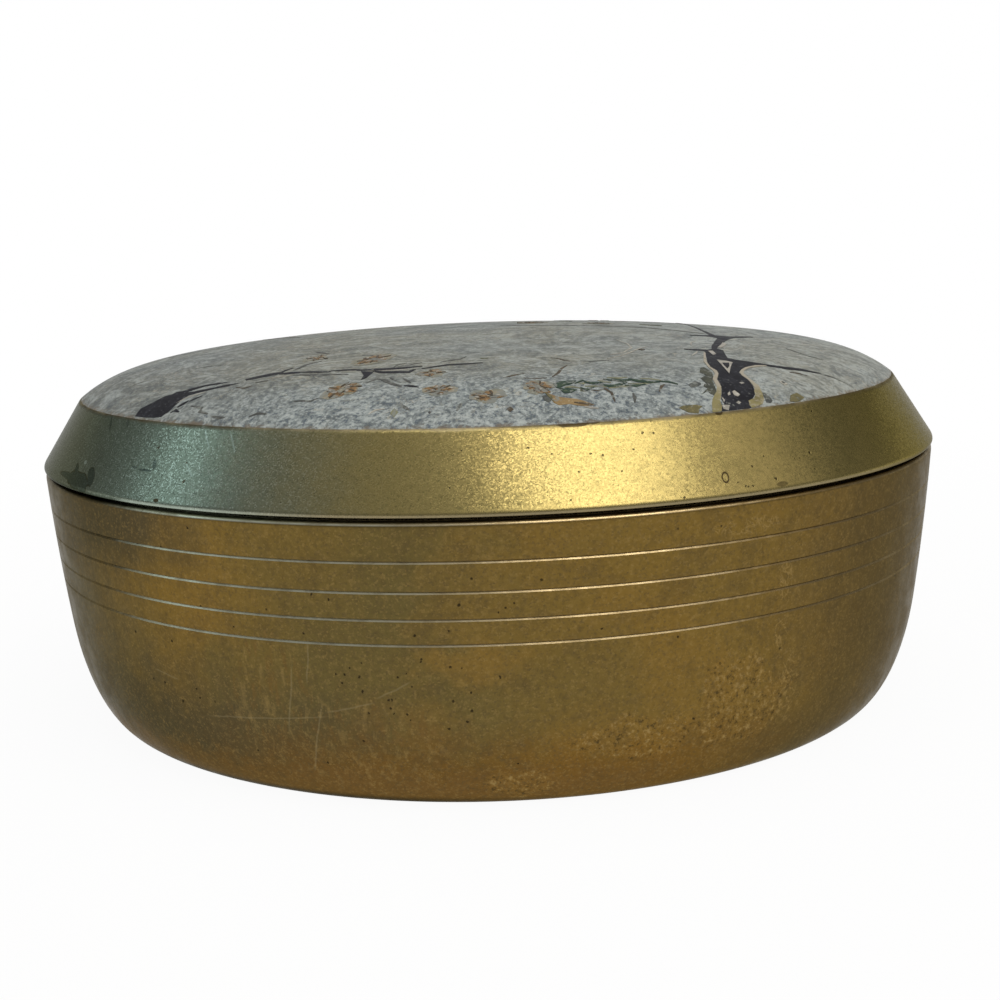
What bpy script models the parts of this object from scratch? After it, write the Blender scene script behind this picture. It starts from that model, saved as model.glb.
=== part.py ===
"""A round brass trinket box: a turned bowl with four grooves, a lift-off bevelled lid that
drops into its mouth on a spigot, and a cushioned top inlaid with a blossoming branch.

Metres, +Z up. The origin is the centre of the flat base, and +X is the viewer's right.
"""

import math

import bmesh
import bpy

# Bowl: the wall leans in towards the base, draws in further as it curves, and turns under at the corner
body_height = 0.0322
mouth_radius = 0.0587
body_wall = 0.0020
base_thickness = 0.0025
wall_draft = 0.0021
wall_belly = 0.0017
corner_height = 0.0125
corner_inset = 0.0035
floor_fillet = 0.0040
mouth_round = 0.0006

# Grooves below the mouth: each pitch is a little shorter than the one above it
groove_drop = 0.0042
groove_pitch = 0.0032
groove_pitch_share = 0.92
groove_count = 4
groove_width = 0.0005
groove_depth = 0.00025
groove_outline_shares = ((0.5, 0), (0.2, 1), (-0.2, 1), (-0.5, 0))

# Lid: a short upright edge, a straight bevel up to the rim, and a cushioned top inside the rim
lid_overhang = 0.0001
lid_edge_height = 0.0005
lid_edge_round = 0.0003
bevel_height = 0.0077
bevel_run = 0.0049
rim_lip = 0.0005
crown_rise = 0.0040
shoulder_rise = 0.0030
shoulder_power = 12
lid_wall = 0.0024
lid_plate = 0.0016
plate_edge_step = 0.0008
spigot_depth = 0.0035
spigot_wall = 0.0016
spigot_clearance = 0.00035
spigot_chamfer = 0.0004

# Inlay: a thin layer that fills the lid's recess, and the gap left round every piece
inlay_depth = 0.0012
fit_gap = 0.0003

# Ornament: sizes of its pieces, whose places are shares of the inlay's radius
blossom_radius = 0.0025
blossom_petals = 5
petal_dip_share = 0.24
leaf_length = 0.0031
leaf_width = 0.0014
gold_leaf_length = 0.0050
gold_leaf_width = 0.0012
gilt_patch_length = 0.0032
gilt_patch_width = 0.0013
strip_width = 0.0008
bark_width = 0.0013
knot_length = 0.0040
knot_width = 0.0012
least_limb_width = 0.0005
bark_notches = 11
bark_ragged_share = 0.38
bark_end_share = 0.12

# Smoothness of the faceted shapes
turn_steps = 64
arc_points = 3
corner_points = 7
edge_points = 22
limb_points = 9
blossom_points = 20
leaf_points = 7
dome_ring_shares = (0.0, 0.35, 0.6, 0.76, 0.87, 0.94, 0.98, 1.0)
lower_wall_shares = (0.33, 0.66)
weld_distance = 0.00001

lid_bottom = body_height + fit_gap
widest_height = lid_bottom + lid_edge_height
rim_height = widest_height + bevel_height
lid_radius = mouth_radius + lid_overhang
rim_radius = lid_radius - bevel_run
recess_radius = rim_radius - rim_lip
inlay_radius = recess_radius - fit_gap
box_height = rim_height + crown_rise + shoulder_rise

# Places of the ornament's pieces on the lid, seen from above, as shares of the inlay's radius
trunk_edge_shares = (
    # up the lid, left edge, right edge
    (-1.040, 0.455, 0.540),
    (-0.910, 0.466, 0.546),
    (-0.840, 0.484, 0.554),
    (-0.785, 0.482, 0.556),
    (-0.730, 0.499, 0.562),
    (-0.665, 0.503, 0.556),
    (-0.605, 0.490, 0.546),
    (-0.540, 0.488, 0.538),
    (-0.440, 0.512, 0.548),
    (-0.320, 0.534, 0.572),
    (-0.200, 0.562, 0.622),
    (-0.050, 0.582, 0.634),
    (0.100, 0.580, 0.612),
    (0.250, 0.556, 0.580),
    (0.380, 0.538, 0.552),
)
strip_left_span_shares = (-0.950, -0.585)
strip_right_span_shares = (-0.880, -0.685)
bark_span_shares = (-0.825, -0.620)
knot_place_share = (0.522, -0.635)

limb_shares = {
    # a path across the lid, then the width at each of its points as a share of the widest
    "branch_root": ((-0.770, -0.715), (-0.672, -0.680), (-0.595, -0.655), (-0.530, -0.662)),
    "branch_middle": ((-0.510, -0.648), (-0.440, -0.634), (-0.385, -0.652), (-0.330, -0.682)),
    "branch_tip": ((-0.308, -0.672), (-0.215, -0.672), (-0.125, -0.692), (-0.010, -0.668)),
    "twig_up": ((-0.437, -0.606), (-0.425, -0.580), (-0.405, -0.553), (-0.385, -0.522)),
    "twig_down": ((-0.220, -0.760), (-0.200, -0.795), (-0.178, -0.828), (-0.158, -0.840)),
    "side_branch": ((0.575, -0.622), (0.632, -0.620), (0.685, -0.612), (0.752, -0.600)),
    "back_branch": ((0.520, -0.170), (0.40, -0.055), (0.23, -0.010), (0.04, 0.020)),
    "back_twig": ((0.545, 0.240), (0.45, 0.330), (0.33, 0.370), (0.20, 0.460)),
}
limb_widths = {
    "branch_root": 0.0040,
    "branch_middle": 0.0013,
    "branch_tip": 0.0013,
    "twig_up": 0.0009,
    "twig_down": 0.0009,
    "side_branch": 0.0030,
    "back_branch": 0.0019,
    "back_twig": 0.0015,
}
limb_taper_shares = {
    "branch_root": (1.0, 0.95, 0.72, 0.18),
    "branch_middle": (0.5, 0.85, 0.8, 1.0),
    "branch_tip": (1.0, 0.85, 0.6, 0.35),
    "twig_up": (1.0, 0.9, 0.7, 0.5),
    "twig_down": (1.0, 0.9, 0.8, 0.6),
    "side_branch": (1.0, 0.45, 0.3, 0.15),
    "back_branch": (1.0, 0.8, 0.5, 0.3),
    "back_twig": (1.0, 0.7, 0.5, 0.35),
}
blossom_shares = (
    (-0.296, -0.823),
    (-0.250, -0.560),
    (-0.380, -0.462),
    (-0.113, -0.762),
    (-0.096, -0.880),
    (0.006, -0.910),
    (0.108, -0.870),
    (0.300, 0.090),
    (0.120, 0.135),
    (0.330, 0.480),
)
leaf_shares = (
    # place, then the way its tip points, in degrees from +X
    (0.197, -0.890, -28),
    (0.205, -0.825, 35),
    (0.270, -0.865, -14),
    (0.300, -0.800, 42),
    (0.360, -0.830, 12),
    (0.430, 0.055, 150),
    (0.220, 0.260, 115),
    (0.410, 0.560, 70),
)
gold_leaf_share = (0.165, -0.950, 4)
gilt_patch_shares = (
    (0.398, -0.885, 10),
    (0.620, -0.735, 38),
)


def inlay_top(radius):
    """Height of the cushioned top: a flat crown with a shoulder that rolls over towards the rim."""
    share = radius / rim_radius
    crown = crown_rise * (1 - share**2)
    shoulder = shoulder_rise * (1 - share**shoulder_power)
    return rim_height + crown + shoulder


def wall_line(height):
    """Radius of the bowl's outside at a height, before the corner turns under."""
    share = (body_height - height) / body_height
    return mouth_radius - wall_draft * share - wall_belly * share**2


def arc(centre_radius, centre_height, size, first, last):
    """Points on an arc of a profile, between two angles in degrees."""
    points = []
    for i in range(arc_points + 1):
        angle = math.radians(first + (last - first) * i / arc_points)
        points.append((centre_radius + size * math.cos(angle), centre_height + size * math.sin(angle)))
    return points


def turned_corner(top, bottom, inset, wall):
    """Points down a corner: a quarter ellipse below the wall line, from its top to its foot."""
    points = []
    for i in range(corner_points + 1):
        angle = math.radians(90 * i / corner_points)
        height = bottom + (top - bottom) * (1 - math.sin(angle))
        points.append((wall_line(height) - wall - inset * (1 - math.cos(angle)), height))
    return points


def groove_heights():
    height = body_height - groove_drop
    pitch = groove_pitch
    heights = []
    for _ in range(groove_count):
        heights.append(height)
        height -= pitch
        pitch *= groove_pitch_share
    return heights


def bowl_profile():
    """The bowl's section, from the middle of its floor, up inside, over the mouth and down outside."""
    inside = turned_corner(corner_height, base_thickness, floor_fillet, body_wall)
    inside.reverse()
    halfway = (body_height + corner_height) / 2
    inside.append((wall_line(halfway) - body_wall, halfway))
    rounding = body_height - mouth_round
    inner_mouth = wall_line(rounding) - body_wall + mouth_round
    outer_mouth = wall_line(rounding) - mouth_round
    over = arc(inner_mouth, rounding, mouth_round, 180, 90) + arc(outer_mouth, rounding, mouth_round, 90, 0)
    outside = []
    for height in groove_heights():
        for up_share, deep_share in groove_outline_shares:
            level = height + up_share * groove_width
            outside.append((wall_line(level) - deep_share * groove_depth, level))
    lowest_groove = outside[-1][1]
    for share in lower_wall_shares:
        level = lowest_groove + (corner_height - lowest_groove) * share
        outside.append((wall_line(level), level))
    outside += turned_corner(corner_height, 0, corner_inset, 0)
    return [(0, base_thickness)] + inside + over + outside + [(0, 0)]


def lid_profile():
    """The lid's section, from the middle of its recess, over the rim, down the bevel and up underneath."""
    recess = []
    for share in dome_ring_shares:
        radius = recess_radius * share
        recess.append((radius, inlay_top(radius) - inlay_depth - fit_gap))
    rim = [(recess_radius, inlay_top(recess_radius)), (rim_radius, rim_height), (lid_radius, widest_height)]
    edge = arc(lid_radius - lid_edge_round, lid_bottom + lid_edge_round, lid_edge_round, 0, -90)
    foot = lid_bottom - spigot_depth
    spigot_radius = wall_line(foot) - body_wall - spigot_clearance
    spigot_inside = spigot_radius - spigot_wall
    spigot = [
        (spigot_radius, lid_bottom),
        (spigot_radius, foot + spigot_chamfer),
        (spigot_radius - spigot_chamfer, foot),
        (spigot_inside, foot),
    ]
    bevel_lean = bevel_run / bevel_height
    bend = widest_height + (lid_radius - lid_wall - spigot_inside) / bevel_lean
    plate_edge = recess_radius - plate_edge_step
    under = [(spigot_inside, bend)]
    for share in reversed(dome_ring_shares):
        radius = plate_edge * share
        under.append((radius, inlay_top(radius) - inlay_depth - fit_gap - lid_plate))
    return recess + rim + edge + spigot + under


def inlay_profile():
    """The inlay layer's section, over its top and back along its underside."""
    rings = [inlay_radius * share for share in dome_ring_shares]
    top = [(radius, inlay_top(radius)) for radius in rings]
    under = [(radius, inlay_top(radius) - inlay_depth) for radius in reversed(rings)]
    return top + under


def smooth_value(knots, values, at):
    """A value on the smooth curve through the values given at the knots."""
    last = len(knots) - 2
    i = max(0, min(last, sum(1 for knot in knots[1:-1] if at > knot)))
    part = (at - knots[i]) / (knots[i + 1] - knots[i])
    before = values[max(i - 1, 0)]
    first, second = values[i], values[i + 1]
    after = values[min(i + 2, last + 1)]
    bend = 2 * before - 5 * first + 4 * second - after
    twist = 3 * (first - second) + after - before
    return first + part * (second - before + part * (bend + part * twist)) / 2


def trunk_edge(side, up):
    """How far across the lid the trunk's left (1) or right (2) edge lies at a height up the lid."""
    knots = [row[0] for row in trunk_edge_shares]
    edges = [row[side] for row in trunk_edge_shares]
    return inlay_radius * smooth_value(knots, edges, up / inlay_radius)


def band_outline(left, right, span_shares, grow):
    """A band between two lines that run up the lid, over a span of it."""
    low = inlay_radius * span_shares[0] - grow
    high = inlay_radius * span_shares[1] + grow
    levels = [low + (high - low) * i / (edge_points - 1) for i in range(edge_points)]
    there = [(right(level) + grow, level) for level in levels]
    back = [(left(level) - grow, level) for level in reversed(levels)]
    return there + back


def trunk_outline(grow):
    span = (trunk_edge_shares[0][0], trunk_edge_shares[-1][0])
    return band_outline(lambda up: trunk_edge(1, up), lambda up: trunk_edge(2, up), span, grow)


def strip_left_outline(grow):
    def right(up):
        return trunk_edge(1, up) - fit_gap

    return band_outline(lambda up: right(up) - strip_width, right, strip_left_span_shares, grow)


def strip_right_outline(grow):
    def left(up):
        return trunk_edge(2, up) + fit_gap

    return band_outline(left, lambda up: left(up) + strip_width, strip_right_span_shares, grow)


def bark_outline(grow):
    """A ragged sliver of bark along the outside of the left strip, thinner towards its ends."""
    low, high = (inlay_radius * share for share in bark_span_shares)

    def right(up):
        return trunk_edge(1, up) - strip_width - 2 * fit_gap

    def left(up):
        share = max(0, min(1, (up - low) / (high - low)))
        ragged = 1 - bark_ragged_share * (1 - math.sin(bark_notches * math.pi * share))
        swell = math.sin(math.pi * (bark_end_share + (1 - 2 * bark_end_share) * share))
        return right(up) - bark_width * swell * ragged

    return band_outline(left, right, bark_span_shares, grow)


def knot_outline(grow):
    """A narrow triangle, point down, set in the trunk."""
    x, y = (inlay_radius * share for share in knot_place_share)
    half_width, half_length = knot_width / 2 + grow, knot_length / 2 + grow
    return [(x - half_width, y + half_length), (x, y - half_length), (x + half_width, y + half_length)]


def limb_outline(name, grow):
    """A tapering limb along a smooth path."""
    path = [(x * inlay_radius, y * inlay_radius) for x, y in limb_shares[name]]
    knots = list(range(len(path)))
    widths = [max(least_limb_width, limb_widths[name] * share) for share in limb_taper_shares[name]]
    ats = [knots[-1] * i / (limb_points - 1) for i in range(limb_points)]
    xs = [smooth_value(knots, [point[0] for point in path], at) for at in ats]
    ys = [smooth_value(knots, [point[1] for point in path], at) for at in ats]
    there, back = [], []
    for i, at in enumerate(ats):
        ahead, behind = min(i + 1, limb_points - 1), max(i - 1, 0)
        dx, dy = xs[ahead] - xs[behind], ys[ahead] - ys[behind]
        size = math.hypot(dx, dy)
        dx, dy = dx / size, dy / size
        half = smooth_value(knots, widths, at) / 2 + grow
        shift = grow * ((i == limb_points - 1) - (i == 0))
        x, y = xs[i] + dx * shift, ys[i] + dy * shift
        there.append((x + dy * half, y - dx * half))
        back.append((x - dy * half, y + dx * half))
    return there + back[::-1]


def blossom_outline(place, grow):
    """A round blossom with a shallow dip between its petals."""
    x, y = (inlay_radius * share for share in place)
    points = []
    for i in range(blossom_points):
        angle = 2 * math.pi * i / blossom_points
        dip = petal_dip_share * (1 - abs(math.cos(blossom_petals * angle / 2)))
        radius = blossom_radius * (1 - dip) + grow
        points.append((x + radius * math.cos(angle), y + radius * math.sin(angle)))
    return points


def leaf_outline(place, length, width, grow):
    """A leaf pointed at both ends, turned the way its tip points."""
    x, y = inlay_radius * place[0], inlay_radius * place[1]
    turn = math.radians(place[2])
    half_length, half_width = length / 2 + grow, width / 2 + grow
    points = []
    for side in (-1, 1):
        for i in range(leaf_points - 1):
            share = 1 - 2 * i / (leaf_points - 1)
            along = -side * half_length * share
            across = side * half_width * (1 - share**2)
            points.append(
                (
                    x + along * math.cos(turn) - across * math.sin(turn),
                    y + along * math.sin(turn) + across * math.cos(turn),
                )
            )
    return points


def material(name, colour, roughness, metallic):
    made = bpy.data.materials.new(name)
    made.use_nodes = True
    shader = made.node_tree.nodes["Principled BSDF"]
    shader.inputs["Base Color"].default_value = (*colour, 1)
    shader.inputs["Roughness"].default_value = roughness
    shader.inputs["Metallic"].default_value = metallic
    return made


def place_object(name, mesh, collection):
    made = bpy.data.objects.new(name, mesh)
    collection.objects.link(made)
    return made


def turned(name, profile, collection):
    """A solid turned about the upright axis from its section."""
    mesh = bpy.data.meshes.new(name)
    made = bmesh.new()
    corners = [made.verts.new((radius, 0, height)) for radius, height in profile]
    for first, second in zip(corners, corners[1:]):
        made.edges.new((first, second))
    made.to_mesh(mesh)
    made.free()
    turned_object = place_object(name, mesh, collection)
    screw = turned_object.modifiers.new("turn", "SCREW")
    screw.axis = "Z"
    screw.angle = 2 * math.pi
    screw.steps = turn_steps
    screw.render_steps = turn_steps
    screw.use_merge_vertices = True
    screw.merge_threshold = weld_distance
    screw.use_smooth_shade = True
    return turned_object


def cut_flat(name, outline, collection):
    """An upright prism of an outline, through the whole depth of the inlay."""
    curve = bpy.data.curves.new(name, "CURVE")
    curve.dimensions = "2D"
    curve.fill_mode = "BOTH"
    spline = curve.splines.new("POLY")
    spline.points.add(len(outline) - 1)
    for point, (x, y) in zip(spline.points, outline):
        point.co = (x, y, 0, 1)
    spline.use_cyclic_u = True
    low, high = widest_height, box_height + crown_rise
    curve.extrude = (high - low) / 2
    flat = place_object(name + "_outline", curve, collection)
    flat.location.z = (high + low) / 2
    bpy.context.view_layer.update()
    graph = bpy.context.evaluated_depsgraph_get()
    mesh = bpy.data.meshes.new_from_object(flat.evaluated_get(graph))
    made = bmesh.new()
    made.from_mesh(mesh)
    bmesh.ops.remove_doubles(made, verts=made.verts, dist=weld_distance)
    bmesh.ops.recalc_face_normals(made, faces=made.faces)
    made.to_mesh(mesh)
    made.free()
    prism = place_object(name, mesh, collection)
    prism.matrix_world = flat.matrix_world
    bpy.data.objects.remove(flat)
    return prism


def hide(helper):
    helper.hide_render = True
    helper.display_type = "WIRE"


def boolean(target, operation, other):
    cut = target.modifiers.new(operation.lower(), "BOOLEAN")
    cut.operation = operation
    cut.solver = "EXACT"
    cut.object = other


for existing in list(bpy.data.objects):
    bpy.data.objects.remove(existing)

parts = bpy.data.collections.new("trinket_box")
cutters = bpy.data.collections.new("cutters")
bpy.context.scene.collection.children.link(parts)
bpy.context.scene.collection.children.link(cutters)

brass = material("aged brass", (0.36, 0.27, 0.12), 0.42, 1.0)
lid_brass = material("satin brass", (0.45, 0.36, 0.17), 0.38, 1.0)
ground_grey = material("grey ground", (0.30, 0.34, 0.34), 0.35, 0.0)
black = material("black inlay", (0.02, 0.02, 0.025), 0.30, 0.0)
gilt = material("gilt strip", (0.60, 0.47, 0.20), 0.35, 1.0)
amber = material("amber blossom", (0.55, 0.30, 0.10), 0.40, 0.0)
green = material("green leaf", (0.06, 0.14, 0.08), 0.40, 0.0)

box_body = turned("box_body", bowl_profile(), parts)
box_body.data.materials.append(brass)

lid = turned("lid", lid_profile(), parts)
lid.data.materials.append(lid_brass)

inlay_layer = turned("inlay_layer", inlay_profile(), cutters)
hide(inlay_layer)

inlay_ground = turned("inlay_ground", inlay_profile(), parts)
inlay_ground.data.materials.append(ground_grey)

outlines = {
    "trunk": (trunk_outline, black),
    "trunk_bark": (bark_outline, black),
    "trunk_knot": (knot_outline, gilt),
    "strip_left": (strip_left_outline, gilt),
    "strip_right": (strip_right_outline, gilt),
    "gold_leaf": (
        lambda grow: leaf_outline(gold_leaf_share, gold_leaf_length, gold_leaf_width, grow),
        gilt,
    ),
}
for limb in limb_shares:
    outlines[limb] = (lambda grow, limb=limb: limb_outline(limb, grow), black)
for number, place in enumerate(blossom_shares, 1):
    outlines[f"blossom_{number}"] = (lambda grow, place=place: blossom_outline(place, grow), amber)
for number, place in enumerate(leaf_shares, 1):
    outlines[f"leaf_{number}"] = (
        lambda grow, place=place: leaf_outline(place, leaf_length, leaf_width, grow),
        green,
    )
for number, place in enumerate(gilt_patch_shares, 1):
    outlines[f"gilt_patch_{number}"] = (
        lambda grow, place=place: leaf_outline(place, gilt_patch_length, gilt_patch_width, grow),
        gilt,
    )

for name, (outline, finish) in outlines.items():
    piece = cut_flat(name, outline(0), parts)
    piece.data.materials.append(finish)
    if name == "trunk":
        knot_pocket = cut_flat("knot_pocket", knot_outline(fit_gap), cutters)
        hide(knot_pocket)
        boolean(piece, "DIFFERENCE", knot_pocket)
    boolean(piece, "INTERSECT", inlay_layer)
    pocket = cut_flat(name + "_pocket", outline(fit_gap), cutters)
    hide(pocket)
    boolean(inlay_ground, "DIFFERENCE", pocket)
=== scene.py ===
import math
import random

import bpy
from mathutils import Euler, Matrix, Vector


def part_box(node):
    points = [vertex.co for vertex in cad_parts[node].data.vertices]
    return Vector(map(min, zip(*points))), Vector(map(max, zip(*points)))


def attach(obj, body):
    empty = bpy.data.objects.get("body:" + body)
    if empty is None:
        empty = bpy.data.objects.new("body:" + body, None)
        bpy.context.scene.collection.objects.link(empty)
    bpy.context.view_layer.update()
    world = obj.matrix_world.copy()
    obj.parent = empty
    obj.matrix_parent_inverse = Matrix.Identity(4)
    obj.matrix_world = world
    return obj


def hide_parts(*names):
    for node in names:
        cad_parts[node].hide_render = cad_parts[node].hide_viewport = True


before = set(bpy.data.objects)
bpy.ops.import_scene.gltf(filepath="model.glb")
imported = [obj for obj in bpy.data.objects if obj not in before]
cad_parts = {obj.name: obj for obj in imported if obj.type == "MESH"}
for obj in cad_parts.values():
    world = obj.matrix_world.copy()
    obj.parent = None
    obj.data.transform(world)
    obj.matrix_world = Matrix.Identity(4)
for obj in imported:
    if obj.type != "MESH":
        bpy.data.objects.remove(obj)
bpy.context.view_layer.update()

mm = 0.001

# Camera
# The picture was taken by hand from close in front, a little above the lid and leaning slightly.
# The lens and the place come from fitting the seam and the four grooves.
camera_lens = 54.0
camera_sensor = 36.0
camera_place = (0, -0.20504, 0.06075)
camera_yaw = 0.00619
camera_pitch = 0.1788
camera_roll = -0.0330
camera = bpy.data.objects.new("camera", bpy.data.cameras.new("camera"))
bpy.context.scene.collection.objects.link(camera)
camera.data.lens = camera_lens
camera.data.sensor_width = camera_sensor
looking = Euler((math.pi / 2 - camera_pitch, 0, -camera_yaw)).to_matrix().to_4x4()
camera.matrix_world = Matrix.Translation(camera_place) @ looking @ Matrix.Rotation(camera_roll, 4, "Z")
bpy.context.scene.camera = camera
bpy.context.scene.view_settings.view_transform = "Standard"

# Floor and backdrop
# One round pale sweep: a flat floor whose edge turns up into a low wall all round the box.
# The camera, the brass and the paste see it white, and it keeps the shadow round the bowl's foot.
studio_radius = 2.5
studio_wall = 0.62
studio_corner = 0.15
studio_drop = 0.00005
studio_sides = 96
studio_colour = (0.85, 0.85, 0.85)
shadow_share = 0.05
shadow_reach = (0.06, 0.28)


def node(tree, kind, values=(), **settings):
    """Adds a shader node. Settings are its own choices, and values go to its inputs by name or number."""
    made = tree.nodes.new("ShaderNode" + kind)
    for name, choice in settings.items():
        setattr(made, name, choice)
    for name, value in dict(values).items():
        if isinstance(value, bpy.types.NodeSocket):
            tree.links.new(value, made.inputs[name])
        else:
            made.inputs[name].default_value = value
    return made


def maths(tree, operation, first, second=0.5, clamp=False):
    """The result of one sum on two numbers."""
    return node(tree, "Math", {0: first, 1: second}, operation=operation, use_clamp=clamp).outputs[0]


def fade(tree, value, low, high, to_low=0.0, to_high=1.0):
    """A number eased from one level to another as the value goes from low to high."""
    levels = {0: value, 1: low, 2: high, 3: to_low, 4: to_high}
    return node(tree, "MapRange", levels, interpolation_type="SMOOTHSTEP").outputs[0]


def select_where(test):
    """Selects just the vertices of the mesh in edit mode whose place passes the test."""
    bpy.ops.mesh.select_all(action="DESELECT")
    bpy.ops.mesh.select_mode(type="VERT")
    bpy.ops.object.mode_set(mode="OBJECT")
    for vertex in bpy.context.object.data.vertices:
        vertex.select = test(vertex.co)
    bpy.ops.object.mode_set(mode="EDIT")


def start_mesh(name):
    """Names the primitive just added, and opens it for shaping."""
    made = bpy.context.object
    made.name = name
    made.data.name = name
    bpy.ops.object.mode_set(mode="EDIT")
    bpy.ops.mesh.select_all(action="SELECT")
    return made


bpy.ops.object.select_all(action="DESELECT")
bpy.ops.mesh.primitive_circle_add(
    vertices=studio_sides, radius=studio_radius, fill_type="NGON", location=(0, 0, -studio_drop)
)
studio_floor = start_mesh("studio_floor")
bpy.ops.mesh.region_to_loop()
bpy.ops.mesh.extrude_region_move(TRANSFORM_OT_translate={"value": (0, 0, studio_wall)})
select_where(lambda place: place.z < studio_wall / 2)
bpy.ops.mesh.bevel(offset=studio_corner, segments=8, affect="EDGES")
bpy.ops.object.mode_set(mode="OBJECT")
bpy.ops.object.transform_apply(location=True)
bpy.ops.object.shade_smooth_by_angle(angle=math.radians(40))
studio_white = bpy.data.materials.new("studio_white")
studio_white.use_nodes = True
tree = studio_white.node_tree
tree.nodes.clear()
ray = node(tree, "LightPath")
seen = maths(tree, "MAXIMUM", ray.outputs["Is Camera Ray"], ray.outputs["Is Glossy Ray"])
seen = maths(tree, "MAXIMUM", seen, ray.outputs["Is Transmission Ray"])
away = node(tree, "VectorMath", {0: node(tree, "TexCoord").outputs["Object"]}, operation="LENGTH")
white_share = fade(tree, away.outputs["Value"], *shadow_reach, 1 - shadow_share, 1.0)
glow = node(tree, "Emission", {"Color": (1, 1, 1, 1), "Strength": 1.0})
pale = node(tree, "BsdfDiffuse", {"Color": (*studio_colour, 1)})
white_share = maths(tree, "MULTIPLY", seen, white_share)
both = node(tree, "MixShader", {0: white_share, 1: pale.outputs[0], 2: glow.outputs[0]})
node(tree, "OutputMaterial", {"Surface": both.outputs[0]})
studio_floor.data.materials.append(studio_white)

# Light
# A broad soft box high on the right gives the glint on the bevel, a dim one beside it carries the glint
# on, a small cool one stands low on the left, and one hangs above. A grey surround fills the rest.
surround_low = 0.15
surround_high = 0.46
surround_rise = (0.10, 0.95)
surround_tint = (1.0, 1.0, 1.02)
watts_for_white = 4.0
world = bpy.data.worlds.new("surround")
world.use_nodes = True
tree = world.node_tree
upwards = node(tree, "SeparateXYZ", {0: node(tree, "TexCoord").outputs["Generated"]}).outputs[2]
surround = tree.nodes["Background"].inputs
surround["Color"].default_value = (*surround_tint, 1)
tree.links.new(fade(tree, upwards, *surround_rise, surround_low, surround_high), surround["Strength"])
bpy.context.scene.world = world
soft_boxes = {
    # azimuth from the front round to the right, elevation, distance, width and height, brightness, colour
    "key_light": (36, 54, 1.0, 0.59, 0.40, 4.0, (1.0, 0.94, 0.84)),
    "side_light": (78, 41, 1.0, 0.48, 0.36, 0.50, (1.0, 0.90, 0.78)),
    "cool_light": (-92, 33, 1.0, 0.22, 0.30, 1.28, (0.70, 0.92, 1.0)),
    "top_light": (0, 88, 1.0, 0.50, 0.50, 2.6, (1.0, 1.0, 1.0)),
}
for name, (azimuth, elevation, distance, width, height, brightness, colour) in soft_boxes.items():
    lamp = bpy.data.lights.new(name, "AREA")
    lamp.shape = "RECTANGLE"
    lamp.size = width
    lamp.size_y = height
    lamp.energy = brightness * watts_for_white * width * height
    lamp.color = colour
    holder = bpy.data.objects.new(name, lamp)
    bpy.context.scene.collection.objects.link(holder)
    level = math.cos(math.radians(elevation))
    aim = Vector((
        math.sin(math.radians(azimuth)) * level,
        -math.cos(math.radians(azimuth)) * level,
        math.sin(math.radians(elevation)),
    ))
    holder.location = aim * distance
    holder.rotation_euler = aim.to_track_quat("Z", "Y").to_euler()

# Bowl
# The real bowl is turned from cast brass with a wall of 2 mm, and four grooves are cut under its mouth.
# Its skin is old satin brass: mottled brown and gold, pitted, and scratched by handling. The upturned
# faces of the grooves and the mouth carry bright brass, partly wear and partly a painted highlight kept
# to the front where the key light glints, silvery on the left as a painted cool reflection.
bowl_low, bowl_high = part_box("box_body")
mouth_height = bowl_high.z
mouth_radius = 0.0587
bowl_wall = 0.0020
bowl_floor = 0.0025
wall_draft = 0.0021
wall_belly = 0.0017
corner_height = 0.0125
corner_inset = 0.0035
floor_fillet = 0.0040
mouth_round = 0.0008
groove_drop = 0.0042
groove_pitch = 0.0032
groove_pitch_share = 0.92
groove_count = 4
groove_lip = 0.00006
groove_facet = 0.00024
groove_depth = 0.00016
corner_steps = 16
wall_steps = 5
turn_steps = 240
rounding_steps = 5
merge_distance = 0.000001
smooth_angle = math.radians(25)


def wall_line(height):
    """Radius of the bowl's outside at a height, before the corner turns under."""
    share = (mouth_height - height) / mouth_height
    return mouth_radius - wall_draft * share - wall_belly * share**2


def turned_corner(top, bottom, inset, wall):
    """Points down a corner: a quarter ellipse below the wall line, from its top to its foot."""
    points = []
    for i in range(corner_steps + 1):
        angle = math.pi / 2 * i / corner_steps
        height = bottom + (top - bottom) * (1 - math.sin(angle))
        points.append((wall_line(height) - wall - inset * (1 - math.cos(angle)), height))
    return points


def rounded_line(corners):
    """A section line through corners that are given as radius, height and rounding."""
    points = [corners[0][:2]]
    for before, here, after in zip(corners, corners[1:], corners[2:]):
        middle = Vector(here[:2])
        if not here[2]:
            points.append(here[:2])
            continue
        back, ahead = Vector(before[:2]) - middle, Vector(after[:2]) - middle
        first = middle + back.normalized() * min(here[2], back.length / 2)
        last = middle + ahead.normalized() * min(here[2], ahead.length / 2)
        for i in range(rounding_steps + 1):
            share = i / rounding_steps
            bend = first * (1 - share) ** 2 + middle * 2 * share * (1 - share) + last * share**2
            points.append(tuple(bend))
    return points + [corners[-1][:2]]


def draw_line(name, points, closed=False):
    """Draws a line in edit mode: one point is made, and drawn out from place to place."""
    bpy.ops.object.select_all(action="DESELECT")
    bpy.ops.mesh.primitive_plane_add(size=mm, location=points[0])
    made = start_mesh(name)
    bpy.ops.mesh.merge(type="CENTER")
    for here, there in zip(points, points[1:]):
        step = Vector(there) - Vector(here)
        bpy.ops.mesh.extrude_vertices_move(TRANSFORM_OT_translate={"value": step})
    bpy.ops.mesh.select_all(action="SELECT")
    if closed:
        bpy.ops.mesh.edge_face_add()
    return made


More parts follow.
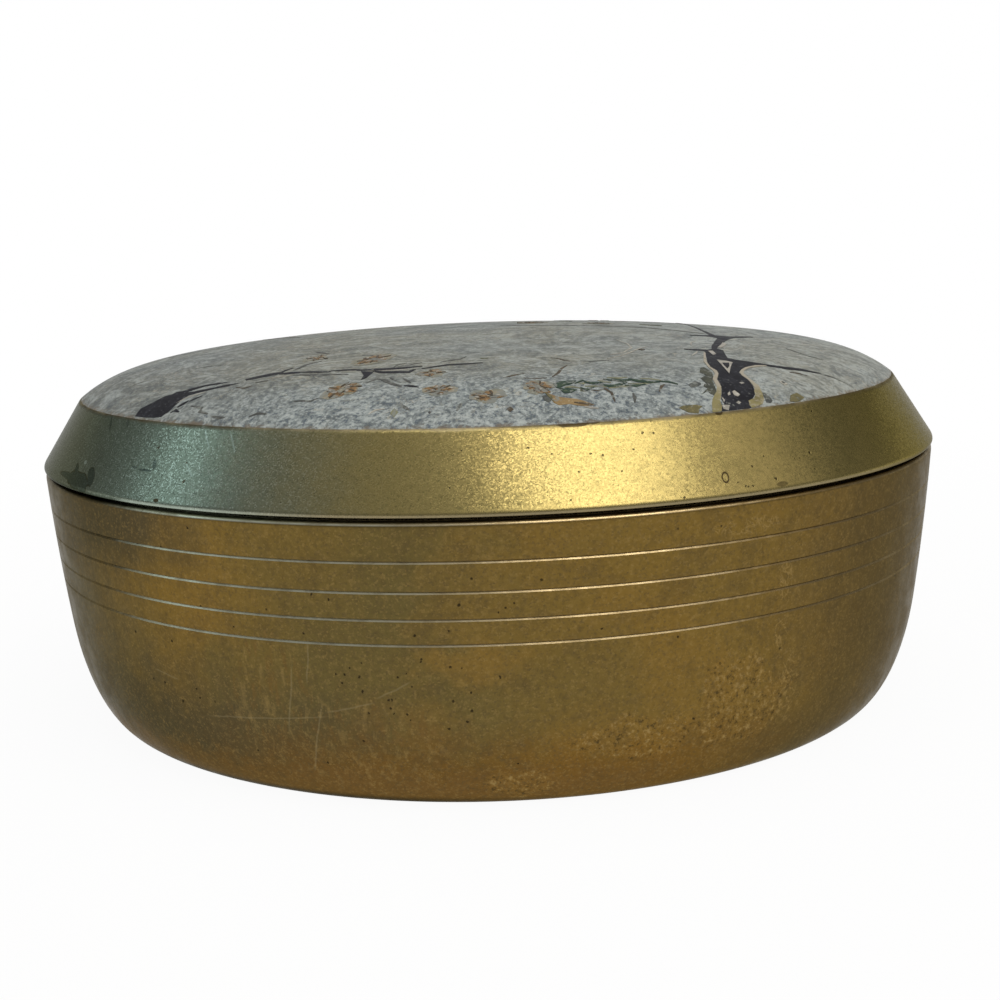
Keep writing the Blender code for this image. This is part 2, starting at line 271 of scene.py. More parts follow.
def turned(name, section):
    """Turns a solid: its section is drawn as a line and spun about the upright axis."""
    made = draw_line(name, [(radius, 0, height) for radius, height in section])
    bpy.ops.object.mode_set(mode="OBJECT")
    bpy.ops.object.transform_apply(location=True)
    bpy.ops.object.mode_set(mode="EDIT")
    bpy.ops.mesh.select_all(action="SELECT")
    bpy.ops.mesh.spin(steps=turn_steps, angle=2 * math.pi, center=(0, 0, 0), axis=(0, 0, 1))
    bpy.ops.mesh.select_all(action="SELECT")
    bpy.ops.mesh.remove_doubles(threshold=merge_distance)
    bpy.ops.mesh.normals_make_consistent(inside=False)
    bpy.ops.object.mode_set(mode="OBJECT")
    bpy.ops.object.shade_smooth_by_angle(angle=smooth_angle)
    return made


bowl_inside = turned_corner(corner_height, bowl_floor, floor_fillet, bowl_wall)
bowl_inside.reverse()
for i in range(1, wall_steps):
    level = corner_height + (mouth_height - mouth_round - corner_height) * i / wall_steps
    bowl_inside.append((wall_line(level) - bowl_wall, level))
bowl_outside = [
    (wall_line(mouth_height - mouth_round) - bowl_wall, mouth_height, mouth_round),
    (wall_line(mouth_height), mouth_height, mouth_round),
]
groove_level = mouth_height - groove_drop + (groove_lip + groove_facet) / 2
groove_step = groove_pitch
for _ in range(groove_count):
    bowl_outside.append((wall_line(groove_level), groove_level, 0))
    inmost = groove_level - groove_lip
    bowl_outside.append((wall_line(inmost) - groove_depth, inmost, 0))
    foot = inmost - groove_facet
    bowl_outside.append((wall_line(foot), foot, 0))
    groove_level -= groove_step
    groove_step *= groove_pitch_share
bowl_outside.append((wall_line(corner_height), corner_height, 0))
bowl_section = [(0, bowl_floor)] + bowl_inside
bowl_section += rounded_line([(*bowl_inside[-1], 0)] + bowl_outside)[1:-1]
lowest = bowl_section[-1][1]
for i in range(1, wall_steps):
    level = lowest + (corner_height - lowest) * i / wall_steps
    bowl_section.append((wall_line(level), level))
bowl_section += turned_corner(corner_height, 0, corner_inset, 0) + [(0, 0)]
turned_bowl = turned("turned_bowl", bowl_section)


def mixed(tree, share, first, second, blend="MIX"):
    """One colour laid over another by a share."""
    made = node(tree, "Mix", data_type="RGBA", blend_type=blend)
    for number, value in ((0, share), (6, first), (7, second)):
        if isinstance(value, bpy.types.NodeSocket):
            tree.links.new(value, made.inputs[number])
        elif number:
            made.inputs[number].default_value = (*value, 1)
        else:
            made.inputs[number].default_value = value
    return made.outputs[2]


def noise(tree, place, scale, detail=2.0, roughness=0.5, distortion=0.0):
    """Cloudy noise from 0 to 1, with so many features to the metre."""
    values = {"Vector": place, "Scale": scale, "Detail": detail, "Roughness": roughness}
    return node(tree, "TexNoise", {**values, "Distortion": distortion}).outputs[0]


def stretched(tree, place, scale, turn=(0, 0, 0)):
    """Object places turned and squeezed, so that a pattern on them is drawn out along one way."""
    turned_place = node(tree, "Mapping", {"Vector": place, "Rotation": turn}).outputs[0]
    return node(tree, "VectorMath", {0: turned_place, 1: scale}, operation="MULTIPLY").outputs[0]


vector_words = ("Place", "Centre", "Reach", "Across", "Facing")


def laid(tree, colour, paint, *shares):
    """A colour with a paint laid over it by a share, or by several shares multiplied."""
    share = shares[0]
    for other in shares[1:]:
        share = maths(tree, "MULTIPLY", share, other)
    return mixed(tree, share, colour, paint)


def effect(name, inputs, outputs):
    """A shader node group with named sockets: places are vectors, and the rest are numbers."""
    group = bpy.data.node_groups.new(name, "ShaderNodeTree")
    for words, way in ((inputs, "INPUT"), (outputs, "OUTPUT")):
        for word in words:
            kind = "NodeSocketVector" if word in vector_words else "NodeSocketFloat"
            group.interface.new_socket(word, in_out=way, socket_type=kind)
    return group, group.nodes.new("NodeGroupInput").outputs, group.nodes.new("NodeGroupOutput").inputs


def use(tree, group, **values):
    """Places an effect in a material and gives its outputs."""
    return node(tree, "Group", values, node_tree=group).outputs


def material(name, **constants):
    """A new material with a Principled shader whose unvarying values are set on its own sockets."""
    made = bpy.data.materials.new(name)
    made.use_nodes = True
    shader = made.node_tree.nodes["Principled BSDF"]
    spelt = {"ior": "IOR", "specular_ior_level": "Specular IOR Level"}
    for word, value in constants.items():
        shader.inputs[spelt.get(word, word.replace("_", " ").title())].default_value = value
    place = node(made.node_tree, "TexCoord").outputs["Object"]
    return made, made.node_tree, shader.inputs, place


def bump(tree, height, into, strength=1.0, facing=None):
    """Raises the surface by a height in metres, on top of the way its grains face."""
    raised = node(tree, "Bump", {"Height": height, "Strength": strength, "Distance": 1.0})
    if facing:
        tree.links.new(facing, raised.inputs["Normal"])
    tree.links.new(raised.outputs[0], into["Normal"])


def added(tree, *heights):
    """The sum of some heights."""
    total = heights[0]
    for height in heights[1:]:
        total = maths(tree, "ADD", total, height)
    return total


# Blotches: ragged patches of two sizes, such as tarnish leaves
blotches, given, out = effect("blotches", ("Place", "Spread", "Edge", "Ragged"), ("Patch", "Cloud"))
warp = noise(blotches, given["Place"], 90.0, 2.0)
wander = node(blotches, "VectorMath", {0: given["Place"]}, operation="ADD")
blotches.links.new(maths(blotches, "MULTIPLY", warp, 0.006), wander.inputs[1])
cloud = node(blotches, "TexNoise", {"Vector": wander.outputs[0], "Scale": given["Spread"], "Detail": 6.0})
blotches.links.new(given["Ragged"], cloud.inputs["Roughness"])
blotches.links.new(cloud.outputs[0], out["Cloud"])
past_edge = maths(blotches, "SUBTRACT", cloud.outputs[0], given["Edge"])
blotches.links.new(fade(blotches, past_edge, -0.035, 0.055), out["Patch"])

# Pits: small round holes scattered thinly
pits, given, out = effect("pits", ("Place", "Spread", "Thin", "Width"), ("Pit", "Height"))
cells = node(pits, "TexVoronoi", {"Vector": given["Place"], "Scale": given["Spread"], "Randomness": 1.0})
chance = node(pits, "SeparateColor", {0: cells.outputs["Color"]})
there = maths(pits, "GREATER_THAN", chance.outputs[0], given["Thin"])
size = maths(pits, "MULTIPLY", given["Width"], maths(pits, "ADD", chance.outputs[1], 0.5))
nearness = maths(pits, "DIVIDE", cells.outputs["Distance"], size)
nearness = maths(pits, "SUBTRACT", 1.0, nearness, clamp=True)
hole = maths(pits, "MULTIPLY", fade(pits, nearness, 0.0, 0.6), there)
pits.links.new(hole, out["Pit"])
pits.links.new(maths(pits, "MULTIPLY", hole, -0.00008), out["Height"])

# Facets: cast grain, each tiny grain tipped its own way so that it sparkles or goes dark
facets, given, out = effect("facets", ("Place", "Fineness", "Tip"), ("Facing", "Speck", "Clump"))
facing = node(facets, "NewGeometry").outputs["Normal"]
for word, size_share, tip_share in (("Speck", 1.0, 1.0), ("Clump", 0.45, 0.45)):
    scale = maths(facets, "MULTIPLY", given["Fineness"], size_share)
    shade = node(facets, "TexVoronoi", {"Vector": given["Place"], "Scale": scale}).outputs["Color"]
    tip = node(facets, "VectorMath", {0: shade, 1: (0.5, 0.5, 0.5)}, operation="SUBTRACT").outputs[0]
    by = maths(facets, "MULTIPLY", given["Tip"], tip_share)
    tip = node(facets, "VectorMath", {0: tip, "Scale": by}, operation="SCALE").outputs[0]
    facing = node(facets, "VectorMath", {0: facing, 1: tip}).outputs[0]
    facets.links.new(node(facets, "SeparateColor", {0: shade}).outputs[0], out[word])
facets.links.new(node(facets, "VectorMath", {0: facing}, operation="NORMALIZE").outputs[0], out["Facing"])

# Stain: one mark round a place, and the line along its ragged edge
stain, given, out = effect("stain", ("Place", "Centre", "Reach", "Tear"), ("Stain", "Edge", "Soft"))
away = node(stain, "VectorMath", {0: given["Place"], 1: given["Centre"]}, operation="SUBTRACT")
away = node(stain, "VectorMath", {0: away.outputs[0], 1: given["Reach"]}, operation="DIVIDE")
away = node(stain, "VectorMath", {0: away.outputs[0]}, operation="LENGTH").outputs["Value"]
away = maths(stain, "ADD", away, given["Tear"])
stain.links.new(fade(stain, away, 1.12, 0.88), out["Stain"])
stain.links.new(fade(stain, away, 1.35, 0.25), out["Soft"])
off = maths(stain, "ABSOLUTE", maths(stain, "SUBTRACT", away, 1.0))
stain.links.new(fade(stain, off, 0.30, 0.10), out["Edge"])

# Nick: one straight scratch, where a plane through a place cuts the surface
nick, given, out = effect("nick", ("Place", "Centre", "Reach", "Across", "Tear"), ("Scratch",))
away = node(nick, "VectorMath", {0: given["Place"], 1: given["Centre"]}, operation="SUBTRACT").outputs[0]
side = node(nick, "VectorMath", {0: away, 1: given["Across"]}, operation="DOT_PRODUCT").outputs["Value"]
side = maths(nick, "ADD", side, maths(nick, "MULTIPLY", given["Tear"], 0.0006))
line = fade(nick, maths(nick, "ABSOLUTE", side), 0.00014, 0.00003)
inside = node(nick, "VectorMath", {0: away, 1: given["Reach"]}, operation="DIVIDE").outputs[0]
inside = node(nick, "VectorMath", {0: inside}, operation="LENGTH").outputs["Value"]
nick.links.new(maths(nick, "MULTIPLY", line, fade(nick, inside, 1.0, 0.6)), out["Scratch"])

# Upturned: where the surface faces up, kept bright partly by hands and cloths and partly by painted
# highlight
upturned, given, out = effect("upturned", ("From", "To"), ("Bright",))
facing = node(upturned, "SeparateXYZ", {0: node(upturned, "NewGeometry").outputs["Normal"]}).outputs[2]
facing = node(upturned, "MapRange", {0: facing, 1: given["From"], 2: given["To"]})
upturned.links.new(facing.outputs[0], out["Bright"])


def ridged(tree, cloud, level):
    """How far noise is from a level, so that the thin lines where it crosses the level can be drawn."""
    return maths(tree, "ABSOLUTE", maths(tree, "SUBTRACT", cloud, level))


def in_metres(place):
    return [length * mm for length in place]


def stained(tree, place, colour, tear, marks, edge="Stain"):
    """Lays a table of marks on a colour: centre and reach in mm, how ragged, how strong, their colour."""
    for centre, reach, ragged, strength, paint in marks:
        torn = maths(tree, "MULTIPLY", tear, ragged) if ragged else 0.0
        mark = use(tree, stain, Place=place, Centre=in_metres(centre), Reach=in_metres(reach), Tear=torn)
        colour = laid(tree, colour, paint, mark[edge], strength)
    return colour


def region(tree, place, tear, patches):
    """A mask of ragged patches, from a table of their centre and reach in mm."""
    mask = 0.0
    for centre, reach in patches:
        mark = use(tree, stain, Place=place, Centre=in_metres(centre), Reach=in_metres(reach), Tear=tear)
        mask = maths(tree, "MAXIMUM", mark["Stain"], mask)
    return mask


def dotted(tree, place, dots):
    """A mask of small spots, from a table of their place and radius in mm."""
    nearest = 9.0
    for *centre, radius in dots:
        away = node(tree, "VectorMath", {0: place, 1: in_metres(centre)}, operation="DISTANCE")
        away = maths(tree, "DIVIDE", away.outputs["Value"], radius * mm)
        nearest = maths(tree, "MINIMUM", away, nearest)
    return fade(tree, nearest, 1.0, 0.5)


def nicked(tree, place, colour, tear, marks, strength, paint):
    """Lays a table of straight scratches on a colour: centre and reach in mm, and the way across each."""
    for centre, reach, across in marks:
        values = {"Place": place, "Centre": in_metres(centre), "Reach": in_metres(reach)}
        mark = use(tree, nick, **values, Across=Vector(across).normalized(), Tear=tear)
        colour = laid(tree, colour, paint, mark["Scratch"], strength)
    return colour


def roughened(tree, place, scale, amount):
    """Object places shaken by fine noise, so that a mark placed on them has an uneven edge."""
    shaken = node(tree, "TexNoise", {"Vector": place, "Scale": scale, "Detail": 2.0}).outputs["Color"]
    shaken = node(tree, "VectorMath", {0: shaken, 1: (0.5, 0.5, 0.5)}, operation="SUBTRACT").outputs[0]
    shaken = node(tree, "VectorMath", {0: shaken, "Scale": amount}, operation="SCALE").outputs[0]
    return node(tree, "VectorMath", {0: shaken, 1: place}).outputs[0]


bowl_olive = (0.118, 0.090, 0.031)
bowl_gold = (0.184, 0.115, 0.027)
bowl_orange = (0.235, 0.132, 0.028)
bowl_speckle = (0.300, 0.200, 0.070)
bowl_scuff = (0.300, 0.240, 0.130)
bowl_brown = (0.092, 0.066, 0.030)
bowl_red = (0.150, 0.084, 0.025)
bowl_grey = (0.100, 0.086, 0.056)
# Painted shade for the left of the bowl
bowl_painted_shade = (0.066, 0.054, 0.030)
# Painted reflection: a warm red-brown mirrored along the foot
bowl_foot_reflection = (0.165, 0.078, 0.012)
bowl_deep = (0.050, 0.034, 0.013)
bowl_dark = (0.014, 0.011, 0.007)
# Bright brass for the grooves and mouth: partly wear, partly painted highlight; the silvery one is
# painted cool reflection
bowl_wear_and_glint = (0.440, 0.350, 0.200)
bowl_wear_and_cool_glint = (0.560, 0.560, 0.430)
bowl_marks = (
    ((9, -56.3, 15.5), (8, 4, 7), 1.2, 0.45, bowl_olive),
    ((-16, -54, 13), (12, 8, 10), 1.2, 0.40, bowl_olive),
    ((-0.5, -57.8, 21.5), (8, 3, 6), 1.2, 0.45, bowl_gold),
    ((-3.0, -57.3, 17.0), (6, 3, 2.6), 2.5, 0.45, bowl_orange),
    ((-7.8, -55.8, 9.6), (5, 3, 3.6), 2.5, 0.30, bowl_orange),
    ((-30.5, -49, 20.5), (5, 5, 3.4), 2.0, 0.30, bowl_orange),
    ((-13, -55, 10.4), (3.6, 3, 3.2), 1.6, 0.35, bowl_red),
    ((46.5, -33, 19), (19, 30, 32), 0.8, 0.80, bowl_brown),
    ((-54, -20, 18), (20, 28, 32), 0.8, 0.75, bowl_grey),
    # Painted shade: the top of the wall just under the lid and the lower left side are darkened
    ((-44, -36, 30), (18, 20, 6.5), 1.0, 0.95, bowl_painted_shade),
    ((-33, -40, 4.0), (34, 26, 11), 1.0, 0.90, bowl_painted_shade),
    # Painted reflection: warm red-brown along the foot at the front
    ((-8, -54, 2.5), (36, 14, 7), 1.0, 0.62, bowl_foot_reflection),
    ((18, -50, 2.5), (26, 12, 6), 1.0, 0.50, bowl_foot_reflection),
    ((33, -44, 3.4), (15, 14, 4.6), 1.2, 0.45, bowl_brown),
)
bowl_grit = (
    ((15, -54, 7.4), (7.5, 5, 2.5)),
    ((26.5, -49.5, 8.2), (6.2, 6, 3.8)),
    ((25.5, -50.5, 12.4), (4.6, 5, 2.8)),
    ((2.0, -54, 2.7), (3.6, 3, 1.7)),
)
bowl_veins = (
    ((31.9, -46.4, 10.0), (1.1, 3, 4.5)),
    ((30.9, -48.4, 17.0), (0.8, 3, 2.4)),
    ((31.2, -48.7, 22.8), (1.0, 3, 2.0)),
    ((27.0, -52.0, 29.5), (4.5, 4, 0.9)),
)
bowl_handled = (((-14.5, -54, 6.8), (9.5, 7, 6.2)), ((-24, -50.5, 12), (5, 6, 8)))
bowl_pits = (
    (-14.2, -55.4, 15.6, 0.20), (-14.0, -55.2, 14.0, 0.20), (-16.7, -54.7, 15.8, 0.16),
    (-15.8, -54.9, 15.8, 0.19), (-15.2, -55.2, 16.6, 0.15), (-16.1, -54.7, 14.8, 0.16),
    (-13.9, -55.6, 17.2, 0.14), (-7.7, -56.9, 17.7, 0.17), (-7.7, -56.9, 17.4, 0.16),
    (-10.2, -56.2, 15.7, 0.14), (-9.3, -56.5, 16.1, 0.12), (-8.0, -56.6, 15.8, 0.14),
    (-4.7, -57.1, 16.8, 0.18), (-3.5, -57.2, 16.7, 0.14), (0.3, -57.2, 15.6, 0.19),
    (-2.7, -56.9, 14.0, 0.18), (-4.6, -56.7, 13.1, 0.20), (-2.7, -56.6, 11.9, 0.21),
    (-3.2, -56.4, 10.7, 0.21), (-5.1, -56.1, 9.9, 0.20), (-11.3, -55.7, 13.1, 0.15),
    (-10.9, -55.8, 13.1, 0.17), (-10.5, -55.8, 13.3, 0.15), (-11.1, -55.6, 12.2, 0.18),
    (-10.8, -55.6, 11.6, 0.15), (-9.4, -55.8, 11.5, 0.17), (-9.1, -55.8, 10.9, 0.13),
    (-13.5, -55.0, 11.5, 0.15), (-8.8, -56.4, 14.7, 0.17), (-7.2, -56.2, 12.0, 0.13),
    (-14.2, -54.1, 8.2, 0.19), (-18.4, -51.9, 5.2, 0.17), (-3.6, -57.9, 23.5, 0.20),
    (1.1, -57.9, 23.1, 0.18), (0.4, -57.9, 22.6, 0.16), (2.0, -58.0, 23.6, 0.16),
    (-2.2, -58.2, 26.3, 0.18), (-18.8, -55.0, 24.5, 0.18), (-17.0, -55.5, 24.0, 0.15),
    (-4.7, -57.5, 20.8, 0.19), (-8.2, -57.1, 20.3, 0.18), (-19.9, -54.1, 20.2, 0.18),
    (10.9, -56.7, 20.2, 0.18), (19.0, -54.3, 18.4, 0.20), (20.8, -52.1, 8.7, 0.21),
    (4.8, -58.0, 25.9, 0.16), (-31.5, -48.6, 22.0, 0.20), (-35.6, -45.0, 17.3, 0.22),
    (-38.7, -41.4, 12.1, 0.22), (-37.2, -42.8, 12.0, 0.20), (-35.0, -44.2, 10.2, 0.24),
    (-33.0, -46.1, 12.1, 0.17), (-32.7, -46.1, 11.1, 0.17), (-30.9, -47.4, 11.0, 0.15),
    (-27.7, -50.6, 20.2, 0.14), (-32.2, -48.9, 30.7, 0.16), (47.5, -32.5, 18.9, 0.22),
    (1.9, -55.2, 5.5, 0.16),
)
bowl_nicks = (
    ((-24.5, -49.5, 10.0), (10.5, 9, 2.4), (-0.13, 0, 1)),
    ((-15.5, -54.6, 12.0), (3.4, 3, 2.0), (-0.28, 0, 1)),
    ((-10.7, -56, 14.2), (2.6, 3, 2.0), (-0.55, 0, 1)),
    ((-19.3, -53, 7.8), (3, 5, 5.4), (1, 0, -0.178)),
    ((-19.7, -54, 17), (1, 3, 3), (1, 0, -0.08)),
    ((-21.9, -52.5, 12.5), (1.5, 4, 5), (1, 0, -0.12)),
    ((-37, -43.7, 13.1), (2.2, 3, 1.2), (0.18, 0, 1)),
)
# Painted reflection: a warm red band low on the wall, fading out towards the right
warm_reflection_side = (0.024, 0.012)
warm_reflection_height = (0.0062, 0.0018)
warm_reflection_tear = 0.008
# Painted shade: a dark line along the foot on the left, where the bowl meets the floor
foot_shade_side = (0.012, -0.012)
foot_shade_height = (0.0013, 0.0003)
grooves_above = (0.012, 0.014)
# Where the painted highlight on the grooves reaches across the front, and where it turns to painted cool
# reflection
wear_glint_left = (-0.039, -0.028)
wear_glint_right = (0.036, 0.029)
wear_glint_tear = 0.012
cool_glint_side = (-0.022, 0.006)
aged_brass, tree, shader, place = material(
    "aged_brass", metallic=1.0, ior=1.45, specular_tint=(0.54, 0.53, 0.49, 1)
)
axes = node(tree, "SeparateXYZ", {0: place})
broad = use(tree, blotches, Place=place, Spread=40.0, Edge=0.53, Ragged=0.62)
fine = use(tree, blotches, Place=place, Spread=260.0, Edge=0.55, Ragged=0.72)
tiny = use(tree, facets, Place=place, Fineness=5200.0, Tip=0.035)
gravel = noise(tree, place, 1500.0, 4.0, 0.72)
holes = use(tree, pits, Place=place, Spread=420.0, Thin=0.93, Width=0.075)
tear = maths(tree, "SUBTRACT", noise(tree, place, 300.0, 5.0, 0.68), 0.5)
turning = noise(tree, stretched(tree, place, (25, 25, 2600)), 1.0, 3.0, 0.6)
streaks = noise(tree, stretched(tree, place, (1300, 1300, 80), (0.12, -0.05, 0)), 1.0, 4.0, 0.6)
grit = region(tree, place, maths(tree, "MULTIPLY", tear, 2.4), bowl_grit)
handled = maths(tree, "ADD", region(tree, place, tear, bowl_handled), 0.25)
ridge = ridged(tree, noise(tree, place, 520.0, 3.0, 0.6, 1.0), 0.5)
colour = mixed(tree, fade(tree, noise(tree, place, 24.0, 3.0), 0.36, 0.64), bowl_olive, bowl_gold)
colour = laid(tree, colour, bowl_orange, broad["Patch"], 0.22)
colour = stained(tree, place, colour, tear, bowl_marks, "Soft")
colour = laid(tree, colour, bowl_brown, fine["Patch"], 0.24)
# Painted reflection: a warm red band along the foot, as of a warm table mirrored in the brass
ragged_level = maths(tree, "ADD", axes.outputs[2], maths(tree, "MULTIPLY", tear, warm_reflection_tear))
warm_reflection_share = maths(tree, "MULTIPLY", fade(tree, axes.outputs[0], *warm_reflection_side), 0.75)
colour = laid(tree, colour, bowl_red, fade(tree, ragged_level, *warm_reflection_height), warm_reflection_share)
colour = laid(tree, colour, bowl_orange, grit, 0.28)
gritty = maths(tree, "ADD", maths(tree, "MULTIPLY", grit, 0.75), 0.25)
colour = laid(tree, colour, bowl_speckle, fade(tree, gravel, 0.52, 0.66, 0.0, 0.85), gritty)
colour = laid(tree, colour, bowl_deep, fade(tree, gravel, 0.47, 0.34, 0.0, 0.80), gritty)
colour = laid(tree, colour, bowl_red, fade(tree, streaks, 0.50, 0.66, 0.0, 0.34), handled)
colour = laid(tree, colour, bowl_speckle, fade(tree, streaks, 0.48, 0.32, 0.0, 0.22), handled)
veined = region(tree, place, tear, bowl_veins)
colour = laid(tree, colour, bowl_speckle, fade(tree, ridge, 0.035, 0.005), veined, 0.55)
colour = laid(tree, colour, bowl_speckle, fade(tree, tiny["Speck"], 0.80, 1.0, 0.0, 0.26))
colour = laid(tree, colour, bowl_brown, fade(tree, tiny["Speck"], 0.22, 0.0, 0.0, 0.40))
colour = laid(tree, colour, bowl_brown, fade(tree, tiny["Clump"], 0.70, 1.0, 0.0, 0.22))
colour = laid(tree, colour, bowl_brown, fade(tree, turning, 0.5, 0.75, 0.0, 0.15))
colour = nicked(tree, place, colour, tear, bowl_nicks, 0.22, bowl_scuff)
colour = laid(tree, colour, bowl_dark, holes["Pit"], 0.75)
pitted = dotted(tree, roughened(tree, place, 2500.0, 0.00035), bowl_pits)
colour = laid(tree, colour, bowl_dark, pitted, 0.8)
# Painted shade along the foot on the left, where the bowl meets the floor
foot_shade_line = fade(tree, axes.outputs[2], *foot_shade_height)
colour = laid(tree, colour, bowl_dark, foot_shade_line, fade(tree, axes.outputs[0], *foot_shade_side), 0.85)
# Bright brass on the upturned grooves and mouth: partly wear, partly painted highlight that fades beyond
# the front, silvery on the left as painted cool reflection
bright = use(tree, upturned, From=0.30, To=0.48)["Bright"]
bright = maths(tree, "MULTIPLY", bright, fade(tree, axes.outputs[2], *grooves_above))
wear_glint_x = maths(tree, "ADD", axes.outputs[0], maths(tree, "MULTIPLY", fine["Cloud"], wear_glint_tear))
glint_reached = fade(tree, wear_glint_x, *wear_glint_right, 0.32, 1.0)
glint_reached = maths(tree, "MULTIPLY", fade(tree, wear_glint_x, *wear_glint_left), glint_reached)
wear_glint_share = maths(tree, "MULTIPLY", fade(tree, fine["Cloud"], 0.66, 0.42, 0.55, 1.0), glint_reached)
wear_glint_colour = mixed(tree, fade(tree, axes.outputs[0], *cool_glint_side), bowl_wear_and_cool_glint, bowl_wear_and_glint)
colour = laid(tree, colour, wear_glint_colour, bright, wear_glint_share)
tree.links.new(colour, shader["Base Color"])
tree.links.new(fade(tree, fine["Cloud"], 0.35, 0.65, 0.30, 0.42), shader["Roughness"])
height = added(
    tree,
    holes["Height"],
    maths(tree, "MULTIPLY", pitted, -0.00008),
    maths(tree, "MULTIPLY", maths(tree, "MULTIPLY", gritty, gravel), 0.00005),
    maths(tree, "MULTIPLY", turning, 0.000003),
    maths(tree, "MULTIPLY", streaks, 0.000005),
)
bump(tree, height, shader, 0.6, tiny["Facing"])
turned_bowl.data.materials.append(aged_brass)
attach(turned_bowl, "bowl")
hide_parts("box_body")

# Lid
# The lid is turned from the same brass: a straight bevel over a thin upright edge, a recess for the
# inlay, and under its plate a short spigot that drops into the bowl's mouth. It is grainy satin brass;
# on the left it is laid grey-green, partly verdigris and partly a painted cool reflection with painted
# glints.
lid_low, lid_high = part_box("lid")
lid_bottom = mouth_height + 0.0004
lid_edge_height = 0.0004
lid_edge_round = 0.0003
lid_radius = lid_high.x
bevel_height = 0.0077
bevel_run = 0.0049
rim_lip = 0.0003
rim_round = 0.00025
knee_round = 0.0003
crown_rise = 0.0040
shoulder_rise = 0.0030
shoulder_power = 12
inlay_depth = 0.0012
lid_wall = 0.0024
lid_plate = 0.0016
plate_edge_step = 0.0012
spigot_wall = 0.0016
spigot_clearance = 0.00035
spigot_chamfer = 0.0004
dome_steps = 72
widest_height = lid_bottom + lid_edge_height
rim_height = widest_height + bevel_height
rim_radius = lid_radius - bevel_run
recess_radius = rim_radius - rim_lip
spigot_radius = wall_line(lid_low.z) - bowl_wall - spigot_clearance
spigot_inside = spigot_radius - spigot_wall


def inlay_top(radius):
    """Height of the cushioned top: a flat crown with a shoulder that rolls over towards the rim."""
    share = radius / rim_radius
    return rim_height + crown_rise * (1 - share**2) + shoulder_rise * (1 - share**shoulder_power)


def dome_line(reach, drop):
    """Points from the middle of the top out to a radius, a depth below the inlay's surface."""
    radii = [reach * math.sin(math.pi / 2 * i / dome_steps) for i in range(dome_steps + 1)]
    return [(radius, inlay_top(radius) - drop) for radius in radii]


recess_line = dome_line(recess_radius, inlay_depth)
lid_rim = [
    (*recess_line[-1], 0),
    (recess_radius, inlay_top(recess_radius), 0),
    (rim_radius, rim_height, rim_round),
    (lid_radius, widest_height, knee_round),
    (lid_radius, lid_bottom, lid_edge_round),
    (spigot_radius, lid_bottom, 0),
    (spigot_radius, lid_low.z, spigot_chamfer),
    (spigot_inside, lid_low.z, spigot_chamfer),
]
bend_height = widest_height + (lid_radius - lid_wall - spigot_inside) * bevel_height / bevel_run
lid_under = dome_line(recess_radius - plate_edge_step, inlay_depth + lid_plate)
lid_under.reverse()
lid_section = recess_line[:-1] + rounded_line(lid_rim + [(spigot_inside, bend_height, 0)]) + lid_under
turned_lid = turned("turned_lid", lid_section)


def from_axis(tree, place):
    """How far a place lies from the box's upright axis."""
    flat = node(tree, "VectorMath", {0: place, 1: (1, 1, 0)}, operation="MULTIPLY").outputs[0]
    return node(tree, "VectorMath", {0: flat}, operation="LENGTH").outputs["Value"]


lid_brass = (0.280, 0.224, 0.084)
lid_pale = (0.400, 0.318, 0.128)
lid_olive = (0.150, 0.132, 0.052)
lid_verdigris_and_cool_sheen = (0.180, 0.222, 0.178)
lid_glint = (0.430, 0.500, 0.430)
lid_end = (0.112, 0.114, 0.090)
lid_slate = (0.034, 0.046, 0.044)
lid_brown = (0.045, 0.032, 0.016)
lid_edge = (0.230, 0.190, 0.135)
rim_brown = (0.110, 0.088, 0.052)
rim_beige = (0.270, 0.225, 0.135)
rim_reach = (0.0530, 0.0533)
lid_marks = (
    # The first mark is a painted glint; the rest are stains
    ((-46.8, -32.7, 35.7), (0.26, 0.5, 0.26), 0.6, 0.60, lid_glint),
    ((-37.8, -42.5, 36.05), (0.95, 1.6, 0.13), 0.8, 0.70, lid_slate),
    ((-36.5, -42.9, 36.7), (0.28, 0.8, 0.62), 0.8, 0.60, lid_slate),
    ((-39.2, -41.1, 36.2), (0.45, 0.8, 0.14), 0.8, 0.50, lid_slate),
    ((-35.9, -46.4, 33.3), (0.36, 0.8, 0.18), 1.0, 0.95, lid_brown),
    ((-43.6, -32.4, 40.1), (0.16, 2.6, 0.85), 1.0, 0.50, lid_slate),
    ((-40.9, -35.4, 40.4), (0.20, 1.2, 0.45), 1.0, 0.40, lid_slate),
    ((30.6, -49.8, 33.4), (0.70, 1.0, 0.25), 1.0, 0.55, lid_brown),
    ((8.8, -53.0, 40.9), (1.7, 1.2, 0.26), 1.6, 0.85, lid_brown),
    ((10.9, -52.4, 41.0), (0.7, 1.2, 0.24), 1.4, 0.85, lid_brown),
    ((24.4, -48.2, 40.9), (0.5, 1.0, 0.24), 1.0, 0.85, lid_brown),
)
lid_patch = (
    ((-47.5, -33.8, 33.8), (2.1, 6, 0.95)),
    ((-49.5, -30.5, 33.9), (1.9, 6, 0.36)),
    ((-45.5, -35.8, 34.5), (0.6, 6, 0.95)),
    ((-46.7, -35.4, 33.2), (0.8, 6, 0.55)),
    ((-48.1, -32.0, 34.7), (0.35, 6, 0.75)),
)
